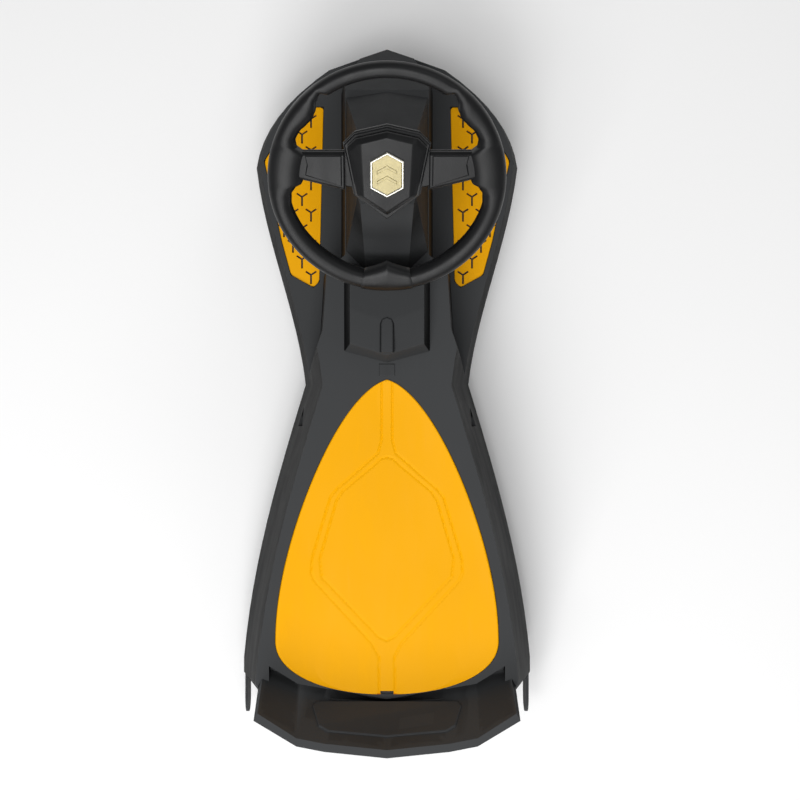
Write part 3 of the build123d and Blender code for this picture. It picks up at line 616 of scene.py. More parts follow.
def at_points_group():
    """Puts copies of one object at a cloud of points, each turned at random within a limit."""
    sockets = {
        "Original": "Object",
        "Random turn": "Float",
        "Seed": "Int",
        "Tilt": "Float",
        "Finish": "Material",
    }
    group, start = new_group("copies_at_points", sockets)
    points = add(group, "GeometryNodeMeshToPoints", {"Mesh": start["Geometry"]}).outputs[0]
    original = add(group, "GeometryNodeObjectInfo", {"Object": start["Original"]})
    spin = add(
        group,
        "FunctionNodeRandomValue",
        {"Max": start["Random turn"], "Seed": start["Seed"]},
        data_type="FLOAT",
    )
    turn = add(group, "ShaderNodeCombineXYZ", {"X": start["Tilt"]}).outputs[0]
    copies = add(
        group,
        "GeometryNodeInstanceOnPoints",
        {"Points": points, "Instance": original.outputs["Geometry"], "Rotation": turn},
    ).outputs[0]
    spun = add(group, "ShaderNodeCombineXYZ", {"Z": spin.outputs["Value"]})
    turned = add(
        group,
        "GeometryNodeRotateInstances",
        {"Instances": copies, "Rotation": spun.outputs[0], "Local Space": True},
    ).outputs[0]
    return end_group(group, turned, start["Finish"])


groups = {}


def grown(mesh, build_group, values):
    """The mesh that a node group makes from another one, with the group's inputs set by identifier."""
    if build_group not in groups:
        groups[build_group] = build_group()
    group = groups[build_group]
    host = linked("host", mesh)
    modifier = host.modifiers.new("grow", "NODES")
    modifier.node_group = group
    for item in group.interface.items_tree:
        if item.in_out == "INPUT" and item.name in values:
            modifier[item.identifier] = values[item.name]
    result = evaluated(host)
    bpy.data.objects.remove(host)
    return result


# ---- body shells ----
def build_upper_shell():
    bm = cad_copy("upper_shell")
    round_edges(bm, mm(shape().shell_round), 2, 28.0, 6.0)
    finished("body_top", bm, "black_shell", "body", ["upper_shell"], clean=False)


def build_lower_shell():
    bm = cad_copy("lower_shell")
    round_edges(bm, mm(shape().shell_round) * 0.45, 2, 28.0, 5.0)
    finished("body_underside", bm, "black_shell", "body", ["lower_shell"], clean=False)


# ---- seat ----
SEAT_WIDE_SHARE = 0.83  # where the seat is widest, as a share of its length
SEAT_SWELL = (0.68, 0.3)  # power of the seat's side curve at its tip, and its growth
SEAT_REAR_POWER = 2.15  # the larger, the squarer the seat's rear corners


def seat_half_width(share):
    """Half the seat's width at a share of its length, measured from its tip."""
    half = SEAT_HIGH.x
    if share < SEAT_WIDE_SHARE:
        along = share / SEAT_WIDE_SHARE
        return half * sin(pi / 2 * along ** (SEAT_SWELL[0] + SEAT_SWELL[1] * along))
    rest = min((share - SEAT_WIDE_SHARE) / (1 - SEAT_WIDE_SHARE), 1.0)
    return half * (1 - rest**SEAT_REAR_POWER) ** (1 / SEAT_REAR_POWER)


def seat_lines():
    """The two lines pressed into the seat, on the +X side, as (x, share of the length)."""
    outer = [(6, 0.0), (6, 0.19), (10, 0.232), (56, 0.345), (64, 0.372), (85, 0.567)]
    outer += [(86, 0.615), (82, 0.64), (17, 0.838), (9, 0.88), (9, 1.0)]
    inner = [(0, 0.246), (7, 0.25), (13.5, 0.268), (50, 0.353), (57, 0.383), (76, 0.567)]
    inner += [(74, 0.627), (9, 0.818), (0, 0.83)]
    length = SEAT_HIGH.y - SEAT_LOW.y
    return [[(x, SEAT_LOW.y + share * length) for x, share in line] for line in (outer, inner)]


def line_distance(x, y, line):
    best = 1e9
    for (ax, ay), (bx, by) in zip(line, line[1:]):
        span_x, span_y = bx - ax, by - ay
        share = ((x - ax) * span_x + (y - ay) * span_y) / (span_x**2 + span_y**2)
        share = max(0.0, min(1.0, share))
        best = min(best, hypot(x - ax - share * span_x, y - ay - share * span_y))
    return best


def build_seat():
    """A dished panel with a rolled edge, two pressed lines and a thin closed underside."""
    lines = seat_lines()
    width, depth = mm(shape().seat_line), mm(shape().seat_line_depth)
    dish = mm(shape().seat_dish)
    length = SEAT_HIGH.y - SEAT_LOW.y
    rows, columns = 340, 200
    roll = 2.6

    def surface(across, share, half):
        x = across * half
        y = SEAT_LOW.y + share * length
        inside = half * (1 - abs(across))
        inside = min(inside, (1 - share) * length + 0.6, share * length * 0.9 + 0.6)
        bowl = 1 - min(inside / 62.0, 1.0)
        drop = dish * (1 - bowl**2.2)
        if inside < roll:
            drop += roll - (roll**2 - (roll - inside) ** 2) ** 0.5
        near = min(line_distance(abs(x), y, line) for line in lines)
        if near < width:
            drop += depth * (0.5 + 0.5 * cos(pi * near / width)) ** 1.5
        return SEAT_HIGH.z - min(drop, SEAT_HIGH.z - SEAT_LOW.z - 0.6)

    bm = bmesh.new()
    top, bottom = [], []
    for row in range(rows + 1):
        turn = pi * row / rows
        share = 0.35 * (row / rows) + 0.65 * (1 - cos(turn)) / 2
        half = max(seat_half_width(share), 1.5)
        y = SEAT_LOW.y + share * length
        top_row, bottom_row = [], []
        for column in range(columns + 1):
            across = sin(pi / 2 * (2 * column / columns - 1)) * 0.35 + 0.65 * (2 * column / columns - 1)
            top_row.append(bm.verts.new((across * half, y, surface(across, share, half))))
            if column in (0, columns):
                bottom_row.append(bm.verts.new((across * half, y, SEAT_LOW.z)))
        top.append(top_row)
        bottom.append(bottom_row)
    for one, two in zip(top, top[1:]):
        for a, b, c, d in zip(one, one[1:], two[1:], two):
            bm.faces.new((a, b, c, d))
    for row in range(rows):
        (a, b), (c, d) = bottom[row], bottom[row + 1]
        bm.faces.new((a, c, d, b))
        bm.faces.new((top[row][0], top[row + 1][0], c, a))
        bm.faces.new((top[row][-1], b, d, top[row + 1][-1]))
    for row in (0, rows):
        bm.faces.new([*top[row], bottom[row][1], bottom[row][0]])
    notch = bmesh.new()
    tail = SEAT_HIGH.y
    add_rings(
        notch,
        [
            [(-7.5, tail - 4, z), (7.5, tail - 4, z), (7.5, tail + 4, z), (-7.5, tail + 4, z)]
            for z in (SEAT_LOW.z - 2, SEAT_HIGH.z + 2)
        ],
    )
    for part in (bm, notch):
        bmesh.ops.recalc_face_normals(part, faces=part.faces)
    finished("seat", cut(bm, notch), "yellow_panel", "body", ["seat_panel"], sharp_turn=38.0)


# ---- foot mats ----
def mat_outline():
    """A foot mat's outline on the +X side, straight from the frame's box."""
    inner, outer = MAT_LOW.x, MAT_HIGH.x
    front, rear = MAT_LOW.y, MAT_HIGH.y
    return [
        (inner, front),
        (inner + 32, front),
        (outer, front + 65),
        (outer - 4, front + 82),
        (outer - 21, front + 161),
        (outer - 32, front + 201),
        (inner + 12, rear),
        (inner + 5, rear - 7),
    ]


def inside_by(x, y, loop):
    """How far a point lies inside a convex loop; negative outside it."""
    least = 1e9
    for (ax, ay), (bx, by) in zip(loop, loop[1:] + loop[:1]):
        size = hypot(bx - ax, by - ay)
        least = min(least, ((bx - ax) * (y - ay) - (by - ay) * (x - ax)) / size)
    return least


def mark_mesh():
    """One three-armed mark: a long stem towards the rider and two short arms."""
    half = mm(shape().mark_stroke) / 2
    bm = bmesh.new()
    low, high = MAT_LOW.z - 2, MAT_HIGH.z + 2
    arms = ((90.0, mm(shape().mark_stem)), (-33.0, mm(shape().mark_arm)), (-147.0, mm(shape().mark_arm)))
    spread = half / cos(radians(30))
    corners = []
    for order, (turn, reach) in enumerate(sorted(arms)):
        a = radians(turn)
        along, side = (cos(a), sin(a)), (-sin(a), cos(a))
        corners.append((along[0] * reach - side[0] * half, along[1] * reach - side[1] * half))
        corners.append((along[0] * reach + side[0] * half, along[1] * reach + side[1] * half))
        after = sorted(arms)[(order + 1) % 3][0] + (360 if order == 2 else 0)
        middle = radians((turn + after) / 2)
        corners.append((cos(middle) * spread, sin(middle) * spread))
    add_prism(bm, corners, low, high)
    bmesh.ops.recalc_face_normals(bm, faces=bm.faces)
    bm.transform(Matrix.Scale(MM, 4))
    return to_mesh(bm, "mark")


def mark_points():
    """Centres of the marks on a hexagonal lattice, well inside a foot mat on the +X side."""
    pitch, row_step = mm(shape().mark_pitch), mm(shape().mark_row)
    outline = mat_outline()
    points = []
    for row in range(-8, 9):
        for column in range(-5, 6):
            x = 91.0 + (column + 0.5 * (row % 2)) * pitch
            y = STEER_Y + 6.0 + row * row_step
            if inside_by(x, y, outline) > 4.0:
                points.append((x, y, 0.0))
    return points


def build_foot_mats():
    """Yellow mats in the foot wells, each with a lattice of three-armed slots."""
    original = linked("mark", mark_mesh())
    for side, suffix in ((1, "left"), (-1, "right")):
        slab = bmesh.new()
        loop = [(side * x, y) for x, y in mat_outline()]
        add_prism(slab, loop, MAT_LOW.z, MAT_HIGH.z)
        bmesh.ops.recalc_face_normals(slab, faces=slab.faces)
        uprights = [e for e in slab.edges if abs(e.verts[0].co.z - e.verts[1].co.z) > 1]
        bmesh.ops.bevel(
            slab, geom=uprights, offset=4.0, segments=4, profile=0.5, affect="EDGES", clamp_overlap=True
        )
        round_edges(slab, 1.0, 2, 60.0)
        cloud = bmesh.new()
        for x, y, z in mark_points():
            cloud.verts.new((side * x * MM, y * MM, z))
        values = {"Original": original, "Random turn": 0.0, "Seed": 1, "Tilt": 0.0}
        values["Finish"] = finish_for("yellow_panel")
        marks = in_millimetres(grown(to_mesh(cloud, "cloud"), at_points_group, values))
        finished(f"mat_{suffix}", cut(slab, marks), "yellow_panel", "body", [f"foot_mat_{suffix}"])
    bpy.data.objects.remove(original)


# ---- backrest ----
BACK_LEAN, BACK_SWEEP, BACK_RIDGE, BACK_FLOOR = 35.0, 40.0, 9.0, 190.0
BACK_BENDS = ((0.0, 0.0), (0.47, 7.0), (0.68, 13.0), (0.97, 40.0))  # (share of half, set forward)


def back_face_y(x, z):
    """Y of the backrest's front face: straight across its foot, bent forward along its top."""
    rise = max((z - BACK_FLOOR) / (BACK_HIGH.z - BACK_FLOOR), 0.0)
    ridge_y = BACK_HIGH.y - BACK_RIDGE
    share = min(abs(x) / BACK_HIGH.x, BACK_BENDS[-1][0])
    foot = ridge_y - BACK_LEAN - BACK_SWEEP * share / BACK_BENDS[-1][0]
    for (a, one), (b, two) in zip(BACK_BENDS, BACK_BENDS[1:]):
        if share <= b:
            top = ridge_y - one - (two - one) * (share - a) / (b - a)
            break
    return foot + (top - foot) * rise


def build_backrest():
    """The low backrest with a raised trapezoid panel on its leaning face."""
    bm = cad_copy("backrest")
    round_edges(bm, 2.4, 3, 24.0, 6.0)
    finished("back", bm, "black_shell", "body", ["backrest"], clean=False)
    panel = [(0, 0.74), (66, 0.80), (76, 0.74), (84, 0.42), (80, 0.33), (0, 0.24)]
    height = BACK_HIGH.z - BACK_FLOOR
    rings = []
    for inset, proud in ((0.0, -1.5), (0.0, 0.9), (1.2, 1.9)):
        ring = []
        for x, share in mirrored([(x, share) for x, share in panel]):
            pull = inset * (1 if share > 0.5 else -1)
            z = BACK_FLOOR + share * height - pull
            x -= inset * (1 if x > 0 else -1) if x else 0
            ring.append((x, back_face_y(x, z) - proud, z + proud * 0.35))
        rings.append(ring)
    bm = bmesh.new()
    add_rings(bm, rings)
    finished("back_panel", bm, "black_shell", "body", [], sharp_turn=20.0)


# ---- steering tower and neck cover ----
def build_tower():
    """The tower's tapered shell, with rounded arrises."""
    bm = cad_copy("steering_tower")
    round_edges(bm, 2.4, 3, 24.0, 6.0)
    finished("tower", bm, "black_shell", "body", ["steering_tower"], clean=False)


def build_cover():
    """The neck's raised cover: a front plane, a lower rear plane past a V crease, and a ridge."""
    front, rear = COVER_LOW.y, COVER_HIGH.y
    half, top_half = COVER_HIGH.x, COVER_HIGH.x - 7
    top = COVER_HIGH.z - 2.5
    crease_side, crease_middle = front + 45, front + 60
    low = [(0.0, front), (half, front), (half, crease_side), (half, rear - 13), (0.0, rear)]
    high = [
        (0.0, front),
        (top_half, front),
        (top_half, crease_side),
        (top_half, rear - 21),
        (0.0, rear - 8),
    ]
    bm = bmesh.new()
    low_ring = [bm.verts.new((x, y, DECK_Z)) for x, y in mirrored(low)]
    levels = [top, top, top, top - 7.0, top - 7.0]
    levels += list(reversed(levels[1:4]))
    high_ring = [bm.verts.new((x, y, z)) for (x, y), z in zip(mirrored(high), levels)]
    for index in range(len(low_ring)):
        bm.faces.new((low_ring[index - 1], low_ring[index], high_ring[index], high_ring[index - 1]))
    bm.faces.new(low_ring)
    crease = bm.verts.new((0.0, crease_middle, top))
    centre, left_front, left_crease, left_rear, tip = high_ring[:5]
    right_rear, right_crease, right_front = high_ring[5:]
    bm.faces.new((centre, left_front, left_crease, crease))
    bm.faces.new((centre, crease, right_crease, right_front))
    bm.faces.new((crease, left_crease, left_rear, tip))
    bm.faces.new((crease, tip, right_rear, right_crease))
    bmesh.ops.recalc_face_normals(bm, faces=bm.faces)
    round_edges(bm, 1.8, 3, 8.0)
    ridge = bmesh.new()
    inner, outer = 5.5, 8.0  # half widths of the ridge along its top and at its foot
    loop = [(-outer, crease_middle + 34), (-outer, crease_middle + 2)]
    loop += [(-outer * 0.75, crease_middle - 4), (0, crease_middle - 6)]
    loop += [(outer * 0.75, crease_middle - 4), (outer, crease_middle + 2)]
    loop += [(outer, crease_middle + 34)]
    narrow = [(x * inner / outer, y + 1.5 * (y < crease_middle)) for x, y in loop]
    levels = ((loop, top - 9.0), (loop, top - 0.4), (narrow, top + 1.8))
    add_rings(ridge, [at_level(points, z) for points, z in levels])
    bmesh.ops.recalc_face_normals(ridge, faces=ridge.faces)
    round_edges(ridge, 0.8, 2, 30.0)
    piece = cut(bm, ridge, "UNION")
    finished("neck_cover", piece, "black_shell", "body", ["tower_cover"], sharp_turn=40.0)
    low_corner, high_corner = box_mm("screw_cap")
    cap = bmesh.new()
    loop = [(0.0, low_corner.y), (high_corner.x, low_corner.y)]
    loop += [(high_corner.x, high_corner.y), (0.0, high_corner.y)]
    rings = []
    for inset, z in ((0.0, low_corner.z - 0.5), (0.0, high_corner.z - 0.6), (0.8, high_corner.z)):
        rings.append(at_level(mirrored(moved_in(loop, inset)), z))
    add_rings(cap, rings)
    finished("neck_screw_cap", cap, "black_shell", "body", ["screw_cap"], sharp_turn=25.0)


# ---- steering wheel ----
# (angle from the rim's front in degrees, inner radius): the thin front arc, a step for the thumb,
# the thick grip, the spoke's root, the open rear window and the bottom of the rim
RIM_INSIDE = [
    (0, 108.0),
    (33, 108.0),
    (36.5, 114.5),
    (40.5, 110.5),
    (45, 103.5),
    (49.5, 100.5),
    (54, 101.5),
    (60, 104.0),
    (65, 104.0),
    (69, 100.5),
    (72, 88.0),
    (92, 88.0),
    (95, 96.5),
    (99, 101.5),
    (106, 104.0),
    (140, 103.5),
    (165, 105.0),
    (180, 104.5),
]


def rim_inside(turn):
    """The rim's inner radius at an angle from its front, eased between the listed ones."""
    for (a, one), (b, two) in zip(RIM_INSIDE, RIM_INSIDE[1:]):
        if turn <= b:
            share = (turn - a) / (b - a)
            return one + (two - one) * share * share * (3 - 2 * share)
    return RIM_INSIDE[-1][1]


def rim_depth(turn):
    """Half thickness of the rim at an angle from its front: thinner along the front arc."""
    share = max(0.0, min(1.0, (turn - 34.0) / 12.0))
    return RIM_FRONT_DEPTH + (GRIP_DEPTH - RIM_FRONT_DEPTH) * share


def rim_ring(turn_degrees, side, inside, depth, points=14, outside=RIM_OUT):
    """One half section of the rim at an angle; side is 1 in front of the wheel's plane, -1 behind."""
    middle, half = (outside + inside) / 2, (outside - inside) / 2
    turn = radians(turn_degrees)
    ring = []
    for step in range(points + 1):
        a = pi * step / points
        across = abs(cos(a)) ** 0.85 * (1 if cos(a) >= 0 else -1)
        r = middle + half * across
        z = side * depth * sin(a) ** 0.85
        ring.append((r * sin(turn), -r * cos(turn), z))
    return ring


def add_rim_half(bm, side):
    rings = []
    steps = 264
    for step in range(steps):
        turn = 360.0 * step / steps
        folded = min(turn, 360.0 - turn)
        depth = rim_depth(folded) - (0.0 if side > 0 else 0.6)
        rings.append(rim_ring(turn, side, rim_inside(folded), depth))
    add_rings(bm, rings, closed=True)


def spoke_outline(inner_x, outer_x, inset=0.0):
    """Plan of a spoke on the +X side: its rear edge rises outwards from the hub."""
    return [
        (inner_x, SPOKE_FRONT + inset),
        (outer_x, SPOKE_FRONT + inset),
        (outer_x, -3.0 - inset),
        (inner_x, 11.0 - inset),
    ]


def add_spokes(bm, inner_x, low, high, inset):
    for side in (1, -1):
        part = bmesh.new()
        full = [(side * x, y) for x, y in spoke_outline(inner_x, 99.0)]
        narrow = [(side * x, y) for x, y in spoke_outline(inner_x, 99.0, inset)]
        outer, inner = (low, high) if abs(high) > abs(low) else (high, low)
        middle = outer + (inner - outer) * 0.55
        add_rings(part, [at_level(full, outer), at_level(full, middle), at_level(narrow, inner)])
        bmesh.ops.recalc_face_normals(part, faces=part.faces)
        round_edges(part, 1.6, 3, 20.0)
        join(bm, part)


def build_wheel_shells():
    """The steering wheel's front and back halves: rim, grips and spokes."""
    front = bmesh.new()
    add_rim_half(front, 1)
    add_spokes(front, 44.0, 0.0, SPOKE_HALF, 3.0)
    nodes = ["wheel_front_shell"]
    finished("wheel_front", front, "black_wheel", "steering", nodes, True, 40.0)
    back = bmesh.new()
    add_rim_half(back, -1)
    add_spokes(back, 30.0, 0.0, -SPOKE_HALF, 2.5)
    hub = bmesh.new()
    hull = hub_outline(-4.0)
    rings = [at_level(mirrored(hull), -0.3), at_level(mirrored(moved_in(hull, 1.5)), -SPOKE_HALF)]
    add_rings(hub, rings)
    bore = bmesh.new()
    add_rings(bore, shaft_rings([(STEM_BORE, WHEEL_Z - 60), (STEM_BORE, WHEEL_Z + 60)], 48))
    for part in (hub, bore):
        bmesh.ops.recalc_face_normals(part, faces=part.faces)
    join(back, cut(hub, bore))
    finished("wheel_back", back, "black_wheel", "steering", ["wheel_back_shell"], True, 40.0)


def build_wheel_trims():
    """The inserts on the spokes and the clip-on sleeve at the bottom of the rim."""
    for side, suffix in ((1, "left"), (-1, "right")):
        bm = bmesh.new()
        outline = [(47.0, -28.5), (85.0, -28.5), (83.0, -19.0), (85.0, -7.0), (47.0, 5.0)]
        rings = []
        for inset, z in ((0.0, SPOKE_HALF - 1.0), (0.0, SPOKE_HALF + 1.1), (1.1, SPOKE_HALF + 2.0)):
            centre_x, centre_y = 66.0, -14.0
            loop = []
            for x, y in outline:
                x += inset * (1 if x < centre_x else -1)
                y += inset * (1 if y < centre_y else -1)
                loop.append((side * x, y, z))
            rings.append(loop)
        add_rings(bm, rings)
        node = f"spoke_trim_{suffix}"
        finished(f"spoke_insert_{suffix}", bm, "black_wheel", "steering", [node], True, 25.0)
    bm = bmesh.new()
    rings = []
    reach, steps = 13.5, 28
    for step in range(steps + 1):
        turn = 180.0 - reach + 2 * reach * step / steps
        share = abs(turn - 180.0) / reach
        inside = 92.0 + 11.0 * share
        end = 0.35 if step in (0, steps) else 0.0
        rings.append(rim_ring(turn, 1, inside + end, GRIP_DEPTH + 1.3 - end, 14, RIM_OUT + 1.0 - end))
    add_rings(bm, rings)
    finished("rim_sleeve", bm, "black_wheel", "steering", ["rim_trim"], True, 25.0)


# ---- hub, horn pad and badge ----
def hub_outline(distance):
    """The horn pad's +X half outline, moved in by a distance."""
    points = [(0.0, -55.0), (32.0, -47.6), (41.4, -38.0), (31.5, 14.4), (0.0, 35.6)]
    return moved_in(points, distance)


def build_hub():
    """The hub's base: a rim that stands out round the pad, deeper at its rear point."""
    bm = bmesh.new()
    outer = hub_outline(-3.0)
    outer[-1] = (0.0, outer[-1][1] + 4.0)
    rings = [at_level(mirrored(moved_in(outer, 1.0)), 0.0)]
    rings.append(at_level(mirrored(outer), 1.2))
    rings.append(at_level(mirrored(outer), HUB_TOP - 1.6))
    rings.append(at_level(mirrored(moved_in(outer, 1.4)), HUB_TOP))
    rings.append(at_level(mirrored(hub_outline(1.0)), HUB_TOP))
    rings.append(at_level(mirrored(hub_outline(2.0)), 3.0))
    add_rings(bm, rings)
    stem = bmesh.new()
    low = box_mm("hub_base")[0].z
    levels = [(STEM - 1.0, low), (STEM, low + 1.0), (STEM, WHEEL_Z - 2.0)]
    add_rings(stem, shaft_rings(levels, 40))
    join(bm, stem)
    finished("hub_collar", bm, "black_wheel", "steering", ["hub_base"], True, 30.0)


PAD_SKIRT = (
    (0.0, -55.0, 13.0),
    (29.0, -48.2, 13.0),
    (32.0, -47.6, 12.6),
    (41.4, -38.0, 11.5),
    (31.5, 14.4, 12.0),
    (28.0, 16.8, 12.4),
    (0.0, 35.6, 13.0),
)  # the horn pad's lower edge and, below, its crown, from front to rear
PAD_CROWN = (
    (0.0, -50.5, 19.0),
    (26.5, -43.8, 19.0),
    (30.5, -42.5, 17.6),
    (36.4, -35.5, 15.0),
    (28.0, 12.0, 15.5),
    (24.0, 13.6, 18.4),
    (0.0, 29.8, 19.2),
)
NUT_ROOM = (15.0, 6.0)  # radius and depth of the pad's hollow over the shaft's nut


def build_horn_pad():
    """The horn pad: a flat middle between two creases, wings that fall away, a rear point."""
    bm = bmesh.new()
    rows = []
    for half in ([(x, y, PAD_LOW) for x, y, z in PAD_SKIRT], PAD_SKIRT, PAD_CROWN):
        ring = list(half) + [(-x, y, z) for x, y, z in reversed(half) if x > 0]
        rows.append([bm.verts.new(point) for point in ring])
    for one, two in zip(rows, rows[1:]):
        for index in range(len(one)):
            bm.faces.new((one[index - 1], one[index], two[index], two[index - 1]))
    bm.faces.new(rows[0])
    crown = rows[2]
    for side in (1, -1):
        bm.faces.new([crown[side * index] for index in (0, 1, 5)] + [crown[6]])
        bm.faces.new([crown[side * index] for index in (1, 2, 3, 4, 5)])
    bmesh.ops.recalc_face_normals(bm, faces=bm.faces)
    round_edges(bm, 1.5, 3, 10.0)
    radius, depth = NUT_ROOM
    hollow = bmesh.new()
    add_prism(hollow, circle(radius, 40), PAD_LOW - 1, PAD_LOW + depth)
    finished("horn_button", cut(bm, hollow), "black_wheel", "horn", ["horn_pad"], True, 50.0)


def badge_outline(distance):
    """A long hexagon: the badge's +X half outline."""
    points = [
        (0.0, BADGE_FRONT),
        (BADGE_HALF, BADGE_FRONT + 10),
        (BADGE_HALF, BADGE_REAR - 10),
        (0.0, BADGE_REAR),
    ]
    return moved_in(points, distance)


def build_badge():
    """A plain hexagonal badge: a chromed bezel round a cream face with two raised chevrons."""
    bezel = bmesh.new()
    section = [(0.0, -1.2), (0.0, 1.0), (0.9, 2.0), (1.7, 2.0)]
    section += [(BADGE_EDGE, 1.0), (BADGE_EDGE, -1.2)]
    rings = [at_level(mirrored(badge_outline(inward)), PAD_TOP + rise) for inward, rise in section]
    add_rings(bezel, rings, closed=True)
    finished("badge_frame", bezel, "badge_silver", "horn", ["badge_bezel"], True, 25.0)
    face = bmesh.new()
    plate = mirrored(badge_outline(BADGE_EDGE + 0.1))
    add_rings(face, [at_level(plate, PAD_TOP - 1.2), at_level(plate, PAD_TOP + 0.6)])
    for y in (-22.0, -11.0):
        chevron = [(0.0, y), (10.5, y + 6), (10.5, y + 10), (0.0, y + 4)]
        rings = [at_level(mirrored(chevron), PAD_TOP + 0.4)]
        rings.append(at_level(mirrored(moved_in(chevron, 0.6)), PAD_TOP + 1.2))
        add_rings(face, rings)
    finished("badge_face", face, "badge_face", "horn", ["badge_plate"], True, 25.0)


# ---- road wheels ----
def tyre_section(width, radius, depth):
    """A closed (x, radius) section: flat bead, rounded shoulders and three grooves in the tread."""
    half = width / 2
    outer = []
    grooves = (-0.42, 0.0, 0.42)
    for step in range(33):
        share = step / 16 - 1
        crown = (1 - abs(share) ** 5) * 1.6
        sunk = 1.1 if any(abs(share - groove) < 0.05 for groove in grooves) else 0.0
        outer.append((share * half, radius - 1.6 + crown - sunk - (1.6 if abs(share) == 1 else 0)))
    return [(-half, radius - depth)] + outer + [(half, radius - depth)]


def build_tyres():
    """Four soft tyres with grooves and rows of shoulder blocks."""
    for axle in ("front", "rear"):
        for suffix in ("left", "right"):
            node = f"{axle}_tyre_{suffix}"
            low, high = box_mm(node)
            radius = (high.z - low.z) / 2
            width = high.x - low.x
            x, y, z = (low + high) / 2
            rise = mm(shape().tread_height)
            bm = bmesh.new()
            revolved(bm, tyre_section(width, radius - rise, 6.0 - rise), x, y, z)
            block = bmesh.new()
            for row in (-1, 1):
                middle = x + row * width * 0.34
                across, along = width * 0.115, pi * radius / shape().tread_blocks * 0.62
                rings = []
                for inset, level in ((0.0, radius - rise - 1.5), (0.0, radius - 0.35), (0.35, radius)):
                    a, b = across - inset, along - inset
                    skew = row * 1.2
                    loop = [(middle - a, y - b - skew), (middle + a, y - b + skew)]
                    loop += [(middle + a, y + b + skew), (middle - a, y + b - skew)]
                    rings.append(at_level(loop, z + level))
                add_rings(block, rings)
            bmesh.ops.recalc_face_normals(block, faces=block.faces)
            block.transform(Matrix.Scale(MM, 4))
            values = {"Count": shape().tread_blocks, "Axle": Vector((x, y, z)) * MM}
            values["Finish"] = finish_for("tyre_soft")
            join(bm, in_millimetres(grown(to_mesh(block, "block"), round_axle_group, values)))
            body = f"{axle}_wheel_{suffix}"
            finished(f"{axle}_tread_{suffix}", bm, "tyre_soft", body, [node])


def build_hub_caps():
    """Rear hub caps: a stepped disc with a domed middle and seven raised blades."""
    for side, suffix in ((1, "left"), (-1, "right")):
        node = f"rear_hub_cap_{suffix}"
        low, high = box_mm(node)
        radius = (high.z - low.z) / 2
        _, y, z = (low + high) / 2
        inner = low.x if side > 0 else high.x
        depth = high.x - low.x
        section = [
            (0.0, 0.6),
            (0.0, radius),
            (depth * 0.30, radius),
            (depth * 0.43, radius - 1.2),
            (depth * 0.43, radius - 3.6),
            (depth * 0.18, radius - 5.0),
            (depth * 0.18, 17.0),
            (depth * 0.72, 14.5),
            (depth * 0.92, 9.0),
            (depth * 0.98, 0.6),
        ]
        bm = bmesh.new()
        revolved(bm, [(side * a, r) for a, r in section], inner, y, z, 72)
        blade = bmesh.new()
        rings = []
        for inset, share in ((0.0, 0.1), (0.0, 0.5), (1.0, 0.66)):
            x = inner + side * depth * share
            loop = [(-3.4 + inset, 13.0), (3.4 - inset, 13.0), (5.6 - inset, radius - 4.4 - inset)]
            loop += [(-5.6 + inset, radius - 4.4 - inset)]
            rings.append([(x, y + across, z + r) for across, r in loop])
        add_rings(blade, rings)
        bmesh.ops.recalc_face_normals(blade, faces=blade.faces)
        blade.transform(Matrix.Scale(MM, 4))
        values = {"Count": 7, "Axle": Vector((inner, y, z)) * MM, "Finish": finish_for("grey_rim")}
        join(bm, in_millimetres(grown(to_mesh(blade, "blade"), round_axle_group, values)))
        body = f"rear_wheel_{suffix}"
        finished(f"rear_cap_{suffix}", bm, "grey_rim", body, [node], sharp_turn=30.0)


# ---- screws ----
SCREW_HEAD = 2.4  # height of a screw's head


def screw_mesh(head_z, length):
    """A pan-head screw pointing up, with a cross recess under its head and a threaded shank."""
    bm = bmesh.new()
    profile = [(0.01, -2.4), (2.4, -2.35), (3.5, -1.8), (4.0, -0.8), (4.0, 0.0), (2.0, 0.0)]
    turns = int(length / 1.5)
    for turn in range(turns):
        z = 0.6 + turn * 1.5
        profile += [(1.55, z), (2.0, z + 0.75)]
    profile += [(1.5, length - 1.0), (0.01, length)]
    steps = 20
    rings = []
    for step in range(steps):
        a = 2 * pi * step / steps
        rings.append([(r * cos(a), r * sin(a), head_z + z) for r, z in profile])
    add_rings(bm, rings, closed=True)
    bmesh.ops.holes_fill(bm, edges=[e for e in bm.edges if e.is_boundary], sides=0)
    recess = bmesh.new()
    arm, half = 2.0, 0.45
    cross = [(arm, -half), (arm, half), (half, half), (half, arm), (-half, arm), (-half, half)]
    cross += [(-arm, half), (-arm, -half), (-half, -half), (-half, -arm), (half, -arm), (half, -half)]
    add_rings(recess, [at_level(cross, head_z - 3.0), at_level(cross, head_z - 1.3)])
    for part in (bm, recess):
        bmesh.ops.remove_doubles(part, verts=part.verts, dist=0.001)
        bmesh.ops.recalc_face_normals(part, faces=part.faces)
    made = cut(bm, recess)
    made.transform(Matrix.Scale(MM, 4))
    return to_mesh(made, "screw")


def solid_middles(node):
    """The middle of the box round each separate solid of a CAD node, in millimetres."""
    bm = cad_copy(node)
    bm.verts.index_update()
    seen = set()
    found = []
    for first in bm.verts:
        if first.index in seen:
            continue
        seen.add(first.index)
        stack, group = [first], []
        while stack:
            vert = stack.pop()
            group.append(vert.co.copy())
            for other in [edge.other_vert(vert) for edge in vert.link_edges]:
                if other.index not in seen:
                    seen.add(other.index)
                    stack.append(other)
        corners = [(min(values), max(values)) for values in zip(*group)]
        found.append(Vector([(low + high) / 2 for low, high in corners]))
    bm.free()
    return found


